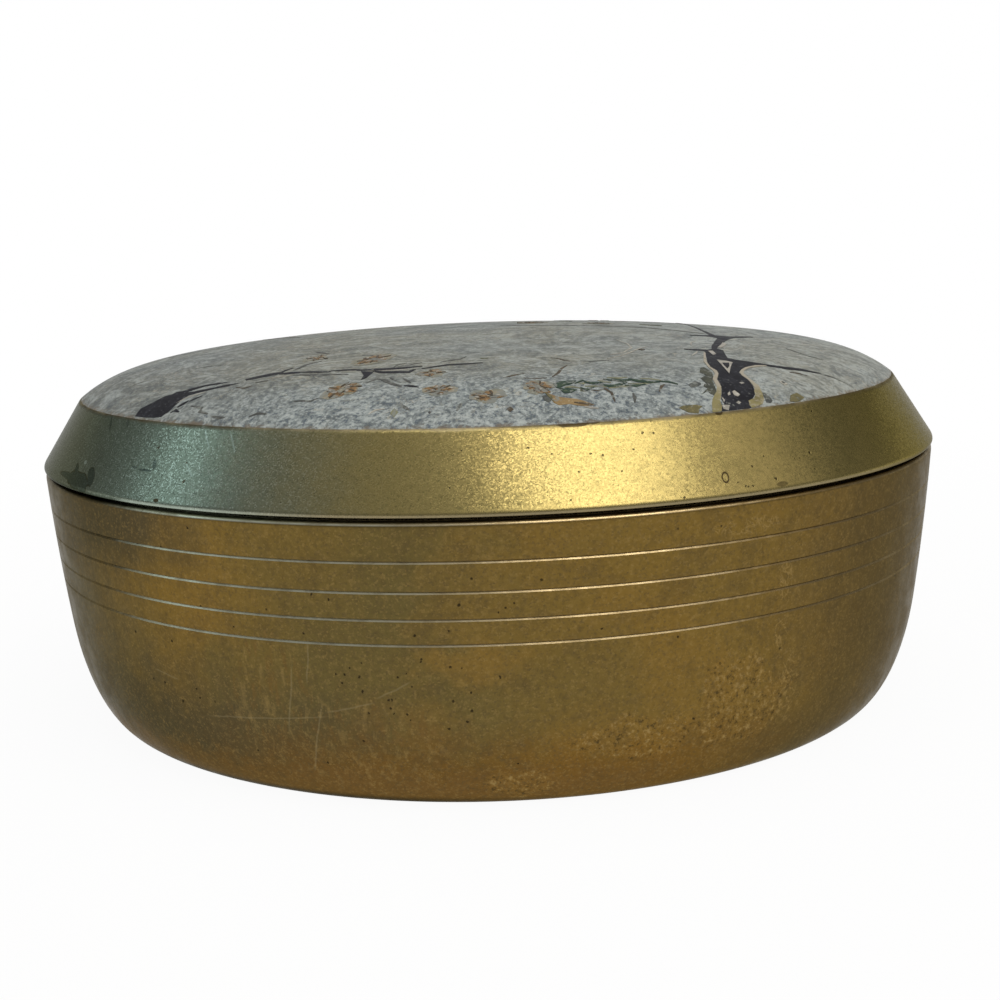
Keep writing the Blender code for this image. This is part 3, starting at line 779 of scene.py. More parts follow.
lid_pits = (
    (10.3, -54.6, 38.0, 0.16), (11.5, -54.5, 37.8, 0.16), (14.7, -53.5, 38.1, 0.13),
    (15.8, -52.2, 39.6, 0.14), (17.0, -51.9, 39.5, 0.13), (8.0, -57.7, 33.9, 0.14),
    (19.7, -55.3, 33.3, 0.20), (4.0, -54.9, 38.9, 0.14), (6.3, -55.1, 38.2, 0.11),
    (9.0, -55.9, 36.4, 0.11), (13.4, -55.2, 36.2, 0.11), (-4.1, -57.1, 35.4, 0.15),
    (-2.8, -55.0, 38.8, 0.13), (28.9, -48.8, 36.2, 0.13), (27.5, -50.2, 35.4, 0.16),
    (29.3, -49.4, 35.1, 0.12), (34.5, -45.2, 35.9, 0.26), (30.0, -49.8, 34.0, 0.21),
    (26.5, -52.0, 33.7, 0.14), (26.8, -51.9, 33.6, 0.12), (27.3, -51.6, 33.6, 0.15),
    (32.6, -46.9, 35.6, 0.13), (33.2, -46.5, 35.6, 0.11), (34.9, -46.3, 34.3, 0.12),
    (-36.2, -41.9, 38.4, 0.20), (-32.6, -47.1, 35.4, 0.20), (-32.4, -45.8, 37.2, 0.14),
    (25.6, -52.2, 34.1, 0.10),
)
lid_ring_place = (24.3, -52.3, 34.7)
lid_ring_size = (0.36, 0.6, 0.55)
lid_nicks = (
    ((-30.1, -45.5, 39.6), (1.2, 2, 1.3), (1, 0, 0.35)),
    ((-27.1, -47.5, 39.4), (1.2, 2, 1.4), (1, 0, 0.35)),
    ((-32.0, -46.6, 36.4), (0.9, 1.6, 1.0), (1, 0, 0.6)),
)
calm_side = (-0.048, -0.026)
calm_edge = (0.0002, 0.0006)
# The left of the bevel is laid grey-green: partly verdigris, partly painted cool reflection
green_side = (-0.009, -0.032)
green_tear = 0.006
lid_end_side = (-0.041, -0.050)
# Where the painted glint on the lid's lower edge lies, and where it gives way to painted shade at the far
# left
edge_glint_side = (-0.034, -0.016)
edge_end_side = (-0.0395, -0.042)
rim_tear = 0.0007
under_edge = (0.0001, -0.0002)
satin_brass, tree, shader, place = material(
    "satin_brass", metallic=1.0, ior=1.45, specular_tint=(0.40, 0.40, 0.36, 1)
)
axes = node(tree, "SeparateXYZ", {0: place})
radius = from_axis(tree, place)
broad = use(tree, blotches, Place=place, Spread=45.0, Edge=0.55, Ragged=0.60)
fine = use(tree, blotches, Place=place, Spread=420.0, Edge=0.56, Ragged=0.72)
above_edge = maths(tree, "SUBTRACT", axes.outputs[2], widest_height)
calm = fade(tree, above_edge, *calm_edge, 0.02, 0.085)
calm = maths(tree, "MULTIPLY", calm, fade(tree, axes.outputs[0], *calm_side, 0.22, 1.0))
tiny = use(tree, facets, Place=place, Fineness=7600.0, Tip=calm)
holes = use(tree, pits, Place=place, Spread=420.0, Thin=0.97, Width=0.05)
tear = maths(tree, "SUBTRACT", noise(tree, place, 420.0, 4.0, 0.65), 0.5)
colour = mixed(tree, fade(tree, tiny["Speck"], 0.1, 0.9, 0.0, 0.40), lid_brass, lid_pale)
colour = laid(tree, colour, lid_olive, fade(tree, tiny["Clump"], 0.60, 1.0, 0.0, 0.18))
colour = laid(tree, colour, lid_olive, fade(tree, tiny["Speck"], 0.10, 0.02, 0.0, 0.60))
colour = laid(tree, colour, lid_olive, fine["Patch"], 0.14)
colour = laid(tree, colour, lid_olive, broad["Patch"], 0.20)
# Painted cool reflection: the left of the bevel goes grey-green, partly verdigris and partly the cool
# lamp's reflection, speckled with painted glints and dark specks
green_x = maths(tree, "ADD", axes.outputs[0], maths(tree, "MULTIPLY", tear, green_tear))
green = mixed(tree, fade(tree, tiny["Speck"], 0.72, 1.0, 0.0, 0.75), lid_verdigris_and_cool_sheen, lid_glint)
green = mixed(tree, fade(tree, tiny["Speck"], 0.16, 0.02, 0.0, 0.50), green, lid_slate)
colour = laid(tree, colour, green, fade(tree, green_x, *green_side, 0.0, 0.92))
colour = laid(tree, colour, lid_end, fade(tree, green_x, *lid_end_side, 0.0, 0.75))
# Real scratches, laid in the painted glint colour
colour = nicked(tree, place, colour, tear, lid_nicks, 0.45, lid_glint)
lip = maths(tree, "ADD", radius, maths(tree, "MULTIPLY", tear, rim_tear))
lip = fade(tree, lip, rim_radius + 0.0001, recess_radius)
lip = maths(tree, "MULTIPLY", lip, fade(tree, radius, *rim_reach))
rim_clouds = noise(tree, place, 130.0, 4.0, 0.6)
rim_colour = mixed(tree, fade(tree, rim_clouds, 0.42, 0.60), rim_brown, rim_beige)
colour = laid(tree, colour, rim_colour, lip, 0.9)
colour = stained(tree, place, colour, tear, lid_marks)
patch = region(tree, place, maths(tree, "MULTIPLY", tear, 0.9), lid_patch)
colour = laid(tree, colour, lid_slate, patch, 0.62)
outline = fade(tree, maths(tree, "ABSOLUTE", maths(tree, "SUBTRACT", patch, 0.6)), 0.38, 0.10, 0.0, 0.60)
colour = laid(tree, colour, lid_brown, outline)
pitted = dotted(tree, roughened(tree, place, 2500.0, 0.0003), lid_pits)
colour = laid(tree, colour, lid_brown, pitted, 0.85)
values = {"Centre": in_metres(lid_ring_place), "Reach": in_metres(lid_ring_size)}
ring = use(tree, stain, Place=place, Tear=0.0, **values)
colour = laid(tree, colour, lid_brown, ring["Edge"], 0.95)
colour = laid(tree, colour, lid_brown, holes["Pit"])
# Painted glint along the lower edge on the left, with painted shade at its far left end
edge_colour = mixed(tree, fade(tree, axes.outputs[0], *edge_glint_side), lid_glint, lid_edge)
edge_colour = mixed(tree, fade(tree, green_x, *edge_end_side), edge_colour, lid_slate)
colour = laid(tree, colour, edge_colour, fade(tree, above_edge, *under_edge, 0.0, 0.6))
tree.links.new(colour, shader["Base Color"])
satin = fade(tree, tiny["Speck"], 0.0, 1.0, 0.34, 0.26)
tree.links.new(maths(tree, "ADD", satin, maths(tree, "MULTIPLY", lip, 0.25)), shader["Roughness"])
height = added(tree, holes["Height"], maths(tree, "MULTIPLY", pitted, -0.00006))
bump(tree, height, shader, 0.9, tiny["Facing"])
turned_lid.data.materials.append(satin_brass)
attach(turned_lid, "cover")
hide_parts("lid")

# Inlay ground
# The recess is filled with grey paste, marbled as it was worked in, then ground and polished flush
# with the rim. Towards the front it has broken into dark and pale flakes.
inlay_under = dome_line(recess_radius, inlay_depth)
inlay_under.reverse()
paste_ground = turned("paste_ground", dome_line(recess_radius, 0) + inlay_under)

paste_grey = (0.215, 0.228, 0.210)
paste_blue = (0.240, 0.275, 0.278)
paste_olive = (0.228, 0.225, 0.180)
paste_pale = (0.430, 0.465, 0.450)
paste_beige = (0.380, 0.350, 0.270)
paste_dark = (0.092, 0.106, 0.110)
paste_slate = (0.070, 0.090, 0.115)
paste_rim = (0.170, 0.130, 0.085)
drift_reach = (0.012, 0.012, 0)
front_reach = (-0.024, -0.040)
front_tear = 0.02
# Painted shade on the left of the ground and painted light on its right
painted_shade_side = (-0.010, -0.050)
painted_light_side = (0.004, 0.046)
ground_tear = 0.0024
ground_edge = (0.0008, 0.0014)
grey_ground, tree, shader, place = material("grey_ground", ior=1.45, specular_ior_level=0.12)
axes = node(tree, "SeparateXYZ", {0: place})
radius = from_axis(tree, place)
drift = node(tree, "TexNoise", {"Vector": place, "Scale": 55.0, "Detail": 3.0})
drift = node(tree, "VectorMath", {0: drift.outputs["Color"], 1: drift_reach}, operation="MULTIPLY")
flow = node(tree, "VectorMath", {0: place, 1: drift.outputs[0]}, operation="ADD").outputs[0]
swirl = noise(tree, flow, 48.0, 3.0, 0.55, 1.0)
bands = maths(tree, "SINE", maths(tree, "MULTIPLY", swirl, 75.0))
clouds = noise(tree, flow, 230.0, 6.0, 0.70, 1.4)
curls = noise(tree, flow, 900.0, 5.0, 0.66, 0.9)
some = fade(tree, noise(tree, flow, 120.0, 3.0, 0.6), 0.44, 0.60)
dark_ridge = ridged(tree, noise(tree, flow, 300.0, 3.0, 0.6, 1.2), 0.5)
pale_ridge = ridged(tree, noise(tree, flow, 220.0, 3.0, 0.6, 1.2), 0.52)
sand = noise(tree, place, 2100.0, 3.0, 0.68)
front = maths(tree, "ADD", axes.outputs[1], maths(tree, "MULTIPLY", clouds, front_tear))
front = fade(tree, front, *front_reach)
colour = mixed(tree, fade(tree, noise(tree, flow, 42.0, 3.0), 0.40, 0.60), paste_grey, paste_olive)
colour = laid(tree, colour, paste_blue, front, 0.85)
# Painted shade darkens the left of the ground and painted light brightens its right, as the key light
# falls from the right
colour = laid(tree, colour, paste_dark, fade(tree, axes.outputs[0], *painted_shade_side, 0.0, 0.40))
colour = laid(tree, colour, paste_pale, fade(tree, axes.outputs[0], *painted_light_side, 0.0, 0.24))
colour = laid(tree, colour, paste_dark, fade(tree, bands, 0.2, 1.0, 0.0, 0.32))
colour = laid(tree, colour, paste_pale, fade(tree, bands, -0.2, -1.0, 0.0, 0.26))
colour = laid(tree, colour, paste_dark, fade(tree, clouds, 0.52, 0.62, 0.0, 0.55))
colour = laid(tree, colour, paste_pale, fade(tree, clouds, 0.48, 0.38, 0.0, 0.42))
broken = maths(tree, "ADD", maths(tree, "MULTIPLY", front, 0.60), 0.40)
colour = laid(tree, colour, paste_dark, fade(tree, curls, 0.52, 0.62, 0.0, 0.66), broken)
colour = laid(tree, colour, paste_pale, fade(tree, curls, 0.48, 0.38, 0.0, 0.56), broken)
colour = laid(tree, colour, paste_dark, fade(tree, dark_ridge, 0.016, 0.003), some, 0.60)
colour = laid(tree, colour, paste_beige, fade(tree, pale_ridge, 0.013, 0.002), some, 0.60)
flecked = maths(tree, "ADD", maths(tree, "MULTIPLY", front, 0.50), 0.28)
colour = laid(tree, colour, paste_slate, fade(tree, sand, 0.53, 0.63), flecked)
colour = laid(tree, colour, paste_pale, fade(tree, sand, 0.46, 0.36), flecked)
past_edge = maths(tree, "SUBTRACT", radius, recess_radius)
past_edge = maths(tree, "ADD", past_edge, maths(tree, "MULTIPLY", curls, ground_tear))
colour = laid(tree, colour, paste_rim, fade(tree, past_edge, *ground_edge, 0.0, 0.70))
tree.links.new(colour, shader["Base Color"])
tree.links.new(fade(tree, sand, 0.3, 0.7, 0.46, 0.62), shader["Roughness"])
height = maths(tree, "MULTIPLY", sand, 0.000012)
height = added(tree, height, maths(tree, "MULTIPLY", curls, 0.000015))
bump(tree, height, shader, 0.5)
paste_ground.data.materials.append(grey_ground)
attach(paste_ground, "cover")
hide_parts("inlay_ground")

# Trunk
# The picture's tree trunk is one piece of black paste, wide at the rim and forked near its top. Like
# every piece of the picture it is set in the ground and polished down with it. Its back shoot is thin.
piece_height = 0.06
layer_proud = (0.00004, 0.00007, 0.00010)
piece_depth = 0.00025
cut_pitch = 0.0012
rim_clearance = 0.00002


def cut_out(name, outline, finish):
    """A flat piece held over the lid: its outline, in mm, is drawn, filled and diced."""
    reach = recess_radius - rim_clearance
    corners = []
    for across, up in outline:
        size = max(math.hypot(across, up) * mm, mm)
        shrink = mm * min(1, reach / size)
        corners.append((across * shrink, up * shrink, piece_height))
    made = draw_line(name, corners, closed=True)
    bpy.ops.mesh.quads_convert_to_tris()
    for axis in (0, 1):
        values = [corner[axis] for corner in corners]
        for i in range(math.ceil(min(values) / cut_pitch), math.floor(max(values) / cut_pitch) + 1):
            point, normal = [0, 0, 0], [0, 0, 0]
            point[axis], normal[axis] = i * cut_pitch, 1
            bpy.ops.mesh.select_all(action="SELECT")
            bpy.ops.mesh.bisect(plane_co=point, plane_no=normal)
    bpy.ops.mesh.select_all(action="SELECT")
    bpy.ops.mesh.normals_make_consistent(inside=False)
    bpy.ops.object.mode_set(mode="OBJECT")
    bpy.ops.object.transform_apply(location=True)
    if made.data.polygons[0].normal.z < 0:
        made.data.flip_normals()
    made.data.materials.append(finish)
    return made


def pressed_in(made, proud):
    """Lays a flat piece on the lid's top, standing a hair proud of it, and gives it its thickness."""
    bpy.ops.object.select_all(action="DESELECT")
    made.select_set(True)
    bpy.context.view_layer.objects.active = made
    lay = made.modifiers.new("lay", "SHRINKWRAP")
    lay.target = paste_ground
    lay.wrap_method = "PROJECT"
    lay.use_project_z = True
    lay.use_negative_direction = True
    lay.use_positive_direction = False
    lay.offset = proud
    thicken = made.modifiers.new("thicken", "SOLIDIFY")
    thicken.thickness = piece_depth
    thicken.offset = -1
    for modifier in ("lay", "thicken"):
        bpy.ops.object.modifier_apply(modifier=modifier)
    bpy.ops.object.shade_smooth_by_angle(angle=smooth_angle)
    return made


def joined(name, pieces):
    """Makes one object of some pieces that are set as one."""
    bpy.ops.object.select_all(action="DESELECT")
    for piece in pieces:
        piece.select_set(True)
    bpy.context.view_layer.objects.active = pieces[0]
    bpy.ops.object.join()
    pieces[0].name = name
    pieces[0].data.name = name
    return pieces[0]


def set_in(piece, slot, *nodes):
    """The piece goes with the lid, and stands for its nodes."""
    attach(piece, "cover")
    if nodes:
        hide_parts(*nodes)


def stroke(path, width):
    """The outline of a stroke along a path, swelling from thin ends."""
    there, back = [], []
    for i, (across, up) in enumerate(path):
        ahead, behind = path[min(i + 1, len(path) - 1)], path[max(i - 1, 0)]
        along = Vector((ahead[0] - behind[0], ahead[1] - behind[1])).normalized()
        half = width / 2 * math.sin(math.pi * (0.12 + 0.76 * i / (len(path) - 1)))
        there.append((across + along.y * half, up - along.x * half))
        back.append((across - along.y * half, up + along.x * half))
    return there + back[::-1]


def paste(name, colour, clouded, flecked, kept=0.54, cloudiness=620.0):
    """Set and polished paste: a colour clouded and flecked with two more, and worn through in places."""
    made, tree, shader, place = material(name, ior=1.45, specular_ior_level=0.12)
    worn = use(tree, blotches, Place=place, Spread=cloudiness, Edge=0.52, Ragged=0.66)
    sand = noise(tree, place, 2300.0, 3.0, 0.70)
    gone = noise(tree, place, 900.0, 4.0, 0.70)
    painted = mixed(tree, fade(tree, worn["Cloud"], 0.42, 0.60, 0.0, 0.85), colour, clouded)
    painted = laid(tree, painted, flecked, fade(tree, sand, 0.56, 0.68, 0.0, 0.75))
    painted = laid(tree, painted, paste_grey, fade(tree, gone, kept, kept + 0.05, 0.0, 0.85))
    tree.links.new(painted, shader["Base Color"])
    tree.links.new(fade(tree, worn["Cloud"], 0.35, 0.65, 0.42, 0.60), shader["Roughness"])
    height = maths(tree, "MULTIPLY", worn["Cloud"], 0.00002)
    bump(tree, added(tree, height, maths(tree, "MULTIPLY", sand, 0.00001)), shader, 0.5)
    return made


def inlaid(name, slot, nodes, parts):
    """One piece of the picture, of parts given as a paste, a layer, a stroke's width or 0, and points."""
    made = []
    for finish, layer, width, points in parts:
        outline = stroke(points, width) if width else points
        flat = cut_out(name, outline, finish)
        made.append(pressed_in(flat, layer_proud[layer]))
    set_in(joined(name, made) if len(made) > 1 else made[0], slot, *nodes)


paste_black = (0.011, 0.011, 0.014)
black_paste = paste("black_paste", paste_black, (0.028, 0.029, 0.035), (0.090, 0.094, 0.104), 0.64)
trunk_outline = (
    (24.9, -48.2), (26.4, -47.5), (28.3, -46.2), (28.3, -45.4), (28.1, -44.5), (28.7, -43.8),
    (29.1, -42.9), (29.2, -41.3), (28.9, -39.7), (28.4, -38.8), (28.2, -37.7), (28.6, -36.8),
    (29.4, -35.6), (30.5, -34.3), (32.2, -33.4), (33.0, -33.0), (32.2, -32.6), (30.4, -32.3),
    (29.0, -31.9), (28.0, -31.3), (28.1, -28.7), (28.3, -26.2), (27.7, -25.0), (28.5, -22.0),
    (29.6, -18.7), (30.6, -15.7), (31.8, -13.2), (34.6, -10.9), (34.4, -10.2), (31.3, -11.9),
    (29.6, -11.3), (29.1, -4.0), (28.9, 6.0), (28.7, 20.2), (28.5, 20.1), (28.6, 6.0),
    (28.7, -4.0), (28.9, -11.4), (26.2, -12.2), (26.3, -12.9), (28.6, -13.2), (29.4, -14.6),
    (28.0, -20.5), (27.4, -22.9), (27.0, -25.6), (26.4, -26.3), (25.5, -26.2), (23.6, -26.2),
    (23.6, -26.8), (25.9, -27.4), (25.8, -28.3), (25.5, -31.7), (25.2, -34.3), (25.2, -36.2),
    (25.4, -37.7), (25.5, -39.2), (25.3, -41.1), (25.4, -43.3), (25.2, -44.5), (25.0, -45.5),
    (25.2, -46.3), (24.8, -46.8),
)
inlaid("inlaid_trunk", "black_inlay", ["trunk"], [(black_paste, 0, 0, trunk_outline)])

# Bark
# A ragged sliver of dark olive paste lies along the outside of the left strip, as the trunk's bark.
# It is the same kind of paste as the trunk, a shade lighter and more worn.
bark_paste = paste("bark_paste", (0.048, 0.052, 0.042), (0.085, 0.088, 0.065), (0.22, 0.23, 0.20), 0.58)
bark_outline = (
    (23.9, -37.6), (24.4, -36.9), (24.6, -37.6), (25.0, -38.8), (25.0, -40.1), (24.6, -41.8),
    (24.7, -43.3), (24.7, -44.2), (24.3, -45.2), (23.9, -45.0), (23.7, -44.5), (22.9, -45.5),
    (23.8, -43.9), (23.4, -43.5), (23.6, -42.9), (23.9, -43.0), (23.4, -41.4), (24.2, -40.1),
    (23.6, -39.3),
)
inlaid("inlaid_bark", "black_inlay", ["trunk_bark"], [(bark_paste, 0, 0, bark_outline)])

# Knot and flecks
# A knot in the trunk is a pale triangle with a dark heart, and chips of the same pale paste are
# scattered in the black.
bone_paste = paste("bone_paste", (0.38, 0.36, 0.31), (0.27, 0.26, 0.23), (0.58, 0.57, 0.52), 0.66)
knot_outline = ((26.5, -32.8), (27.4, -33.0), (28.2, -33.6), (27.6, -35.9), (27.0, -38.6), (26.8, -36.9))
knot_heart = ((26.9, -34.4), (27.7, -34.1), (27.5, -35.6), (27.1, -36.8), (26.9, -35.6))
flecks = (
    ((27.7, -41.0), (28.1, -40.7), (28.3, -40.9), (27.9, -41.3)),
    ((25.9, -44.2), (26.2, -43.7), (26.2, -44.3), (25.9, -44.6)),
    ((26.5, -43.6), (26.8, -43.2), (27.3, -43.8), (27.0, -44.3), (26.6, -44.2)),
    ((26.6, -45.5), (26.9, -45.1), (27.2, -45.2), (26.9, -45.6)),
    ((24.9, -46.6), (25.8, -46.2), (25.6, -47.2), (25.0, -47.1)),
    ((25.1, -45.1), (25.4, -45.6), (25.2, -46.1)),
    ((28.0, -23.9), (28.6, -22.2), (29.3, -19.4), (29.6, -20.5), (29.0, -22.7), (28.3, -24.3)),
    ((26.3, -27.4), (26.9, -27.0), (27.0, -29.2), (26.5, -30.0)),
)
knot_parts = [(bone_paste, 1, 0, knot_outline), (black_paste, 2, 0, knot_heart)]
inlaid("inlaid_knot", "gilt_brass", ["trunk_knot"], knot_parts)
inlaid("trunk_flecks", "grey_ground", [], [(bone_paste, 1, 0, outline) for outline in flecks])

# Strips
# A strip on each side of the trunk divides it from the ground: pale and thin up the lid, broader and
# olive gold towards the rim.
strip_pale = (0.37, 0.335, 0.265)
strip_gold = (0.250, 0.220, 0.098)
strip_dark = (0.120, 0.105, 0.055)
gold_slope = 0.55
gold_tear = 0.004
gold_reach = (-0.0545, -0.0570)
gilt_strip, tree, shader, place = material("gilt_strip", ior=1.45, specular_ior_level=0.2)
axes = node(tree, "SeparateXYZ", {0: place})
worn = use(tree, blotches, Place=place, Spread=520.0, Edge=0.54, Ragged=0.66)
up_lid = maths(tree, "ADD", axes.outputs[1], maths(tree, "MULTIPLY", worn["Cloud"], gold_tear))
up_lid = maths(tree, "SUBTRACT", up_lid, maths(tree, "MULTIPLY", axes.outputs[0], gold_slope))
low = fade(tree, up_lid, *gold_reach)
colour = mixed(tree, low, strip_pale, strip_gold)
colour = laid(tree, colour, strip_dark, fade(tree, worn["Cloud"], 0.50, 0.66, 0.0, 0.60))
pale_spots = noise(tree, place, 1500.0, 3.0, 0.7)
colour = laid(tree, colour, strip_pale, fade(tree, pale_spots, 0.52, 0.60, 0.0, 0.60))
tree.links.new(colour, shader["Base Color"])
tree.links.new(maths(tree, "MULTIPLY", low, 0.15), shader["Metallic"])
tree.links.new(fade(tree, worn["Cloud"], 0.35, 0.65, 0.36, 0.52), shader["Roughness"])
bump(tree, maths(tree, "MULTIPLY", worn["Cloud"], 0.00002), shader, 0.5)
left_strip = (
    (25.6, -28.6), (24.8, -34.1), (24.9, -36.9), (25.25, -38.2), (25.3, -39.3), (25.05, -40.2),
    (24.75, -41.2), (24.8, -42.0), (24.9, -43.1), (24.7, -44.3), (24.3, -45.2), (24.0, -46.0),
    (23.8, -46.9), (23.8, -48.3), (24.9, -47.9), (24.9, -46.7), (24.8, -46.0), (25.0, -45.2),
    (25.2, -44.4), (25.4, -43.0), (25.3, -41.8), (25.2, -41.2), (25.5, -40.1), (25.7, -39.2),
    (25.7, -38.1), (25.2, -36.9), (25.1, -34.2), (25.8, -28.7),
)
right_strip = (
    (32.1, -33.4), (30.9, -34.3), (29.65, -35.5), (28.95, -36.8), (28.7, -37.8), (28.9, -38.8),
    (29.4, -39.9), (29.9, -40.8), (30.0, -42.3), (30.0, -43.4), (29.7, -44.2), (29.1, -44.8),
    (28.4, -45.7), (28.1, -45.2), (28.1, -44.5), (28.8, -43.8), (29.1, -43.1), (29.1, -42.3),
    (29.3, -41.5), (29.2, -40.8), (28.9, -39.7), (28.4, -38.7), (28.3, -37.7), (28.7, -36.5),
    (29.4, -35.3), (30.7, -33.9), (32.2, -33.1),
)
inlaid("inlaid_left_strip", "gilt_brass", ["strip_left"], [(gilt_strip, 1, 0, left_strip)])
inlaid("inlaid_right_strip", "gilt_brass", ["strip_right"], [(gilt_strip, 1, 0, right_strip)])

# Gilt patches
# Small patches of olive gold lie by the rim on both sides of the trunk. A dark sliver and a small
# olive chip beside the trunk are set in the same way.
olive_paste = paste("olive_paste", (0.150, 0.132, 0.062), (0.095, 0.090, 0.052), (0.26, 0.23, 0.12), 0.56)
slate_paste = paste("slate_paste", (0.062, 0.068, 0.066), (0.110, 0.115, 0.100), (0.24, 0.25, 0.24), 0.56)
patch_left = (
    (20.0, -48.7), (20.6, -48.2), (21.6, -47.8), (22.0, -47.6), (22.7, -47.6), (22.3, -48.1),
    (22.1, -48.8), (21.0, -49.0),
)
patch_right = ((33.1, -41.9), (33.4, -40.7), (34.3, -39.7), (35.1, -40.0), (34.5, -40.9), (34.0, -41.5))
sliver = (
    (29.8, -42.1), (30.3, -42.0), (30.8, -42.5), (31.0, -43.0), (30.7, -43.5), (30.2, -43.7),
    (30.1, -42.9),
)
small_olive = ((21.7, -43.7), (22.6, -42.5), (23.2, -42.8), (23.2, -43.2), (22.7, -43.8), (22.0, -44.3))
inlaid("inlaid_patch_left", "gilt_brass", ["gilt_patch_1"], [(olive_paste, 1, 0, patch_left)])
inlaid("inlaid_patch_right", "gilt_brass", ["gilt_patch_2"], [(olive_paste, 1, 0, patch_right)])
sliver_parts = [(slate_paste, 0, 0, outline) for outline in (sliver, small_olive)]
inlaid("trunk_slivers", "grey_ground", [], sliver_parts)

# Branches
# The flowering branch comes in from the rim on the left as a broad wedge that splits, runs on thin and
# black, and forks. One limb leaves the trunk to the right, and two more cross the back of the lid.
shade_paste = paste("shade_paste", (0.068, 0.070, 0.066), (0.120, 0.124, 0.112), (0.22, 0.22, 0.20), 0.53)
root_outline = (
    (-40.1, -35.2), (-39.6, -34.1), (-38.4, -34.1), (-37.6, -33.8), (-36.8, -33.5), (-36.0, -33.7),
    (-35.5, -33.3), (-34.7, -33.7), (-34.0, -33.5), (-32.1, -33.4), (-30.9, -33.6), (-29.2, -34.2),
    (-30.4, -34.3), (-32.0, -34.0), (-34.2, -34.5), (-33.4, -35.0), (-31.0, -35.3), (-29.1, -35.2),
    (-27.9, -35.5), (-29.3, -35.9), (-31.6, -35.9), (-33.7, -35.8), (-34.2, -36.3), (-34.7, -37.0),
    (-35.1, -37.6), (-35.6, -38.3), (-36.4, -38.6), (-37.4, -37.9), (-38.8, -36.6),
)
middle_outline = (
    (-27.5, -34.2), (-26.7, -33.7), (-25.5, -33.2), (-24.4, -32.7), (-23.3, -32.7), (-23.2, -33.3),
    (-23.9, -33.9), (-25.3, -34.3), (-26.6, -34.7), (-27.3, -34.7),
)
drop_outline = (
    (-14.1, -36.6), (-12.6, -37.4), (-12.8, -38.5), (-13.2, -40.1), (-13.8, -40.8), (-13.6, -39.0),
)
upper_fork = ((-14.6, -36.0), (-13.1, -36.2), (-11.2, -36.5), (-9.5, -36.5), (-7.2, -36.1))
lower_fork = ((-12.6, -37.0), (-11.7, -38.0), (-10.2, -38.4), (-8.6, -38.8), (-8.0, -37.6))
fork_end = ((-7.2, -37.5), (-5.9, -36.8), (-4.4, -36.1), (-2.4, -36.0), (-0.4, -35.6))
side_line = ((30.6, -33.3), (32.2, -33.0), (34.4, -32.9), (36.6, -32.2), (38.6, -31.8))
back_line = (
    (28.4, -9.6), (24.6, -6.0), (21.3, -2.9), (17.0, -1.3), (12.2, -0.6), (7.0, 0.4), (2.2, 1.1),
)
back_twig_line = (
    (28.9, 12.7), (26.3, 15.6), (23.9, 17.6), (20.6, 18.8), (17.5, 19.7), (13.9, 22.0), (10.6, 24.4),
)
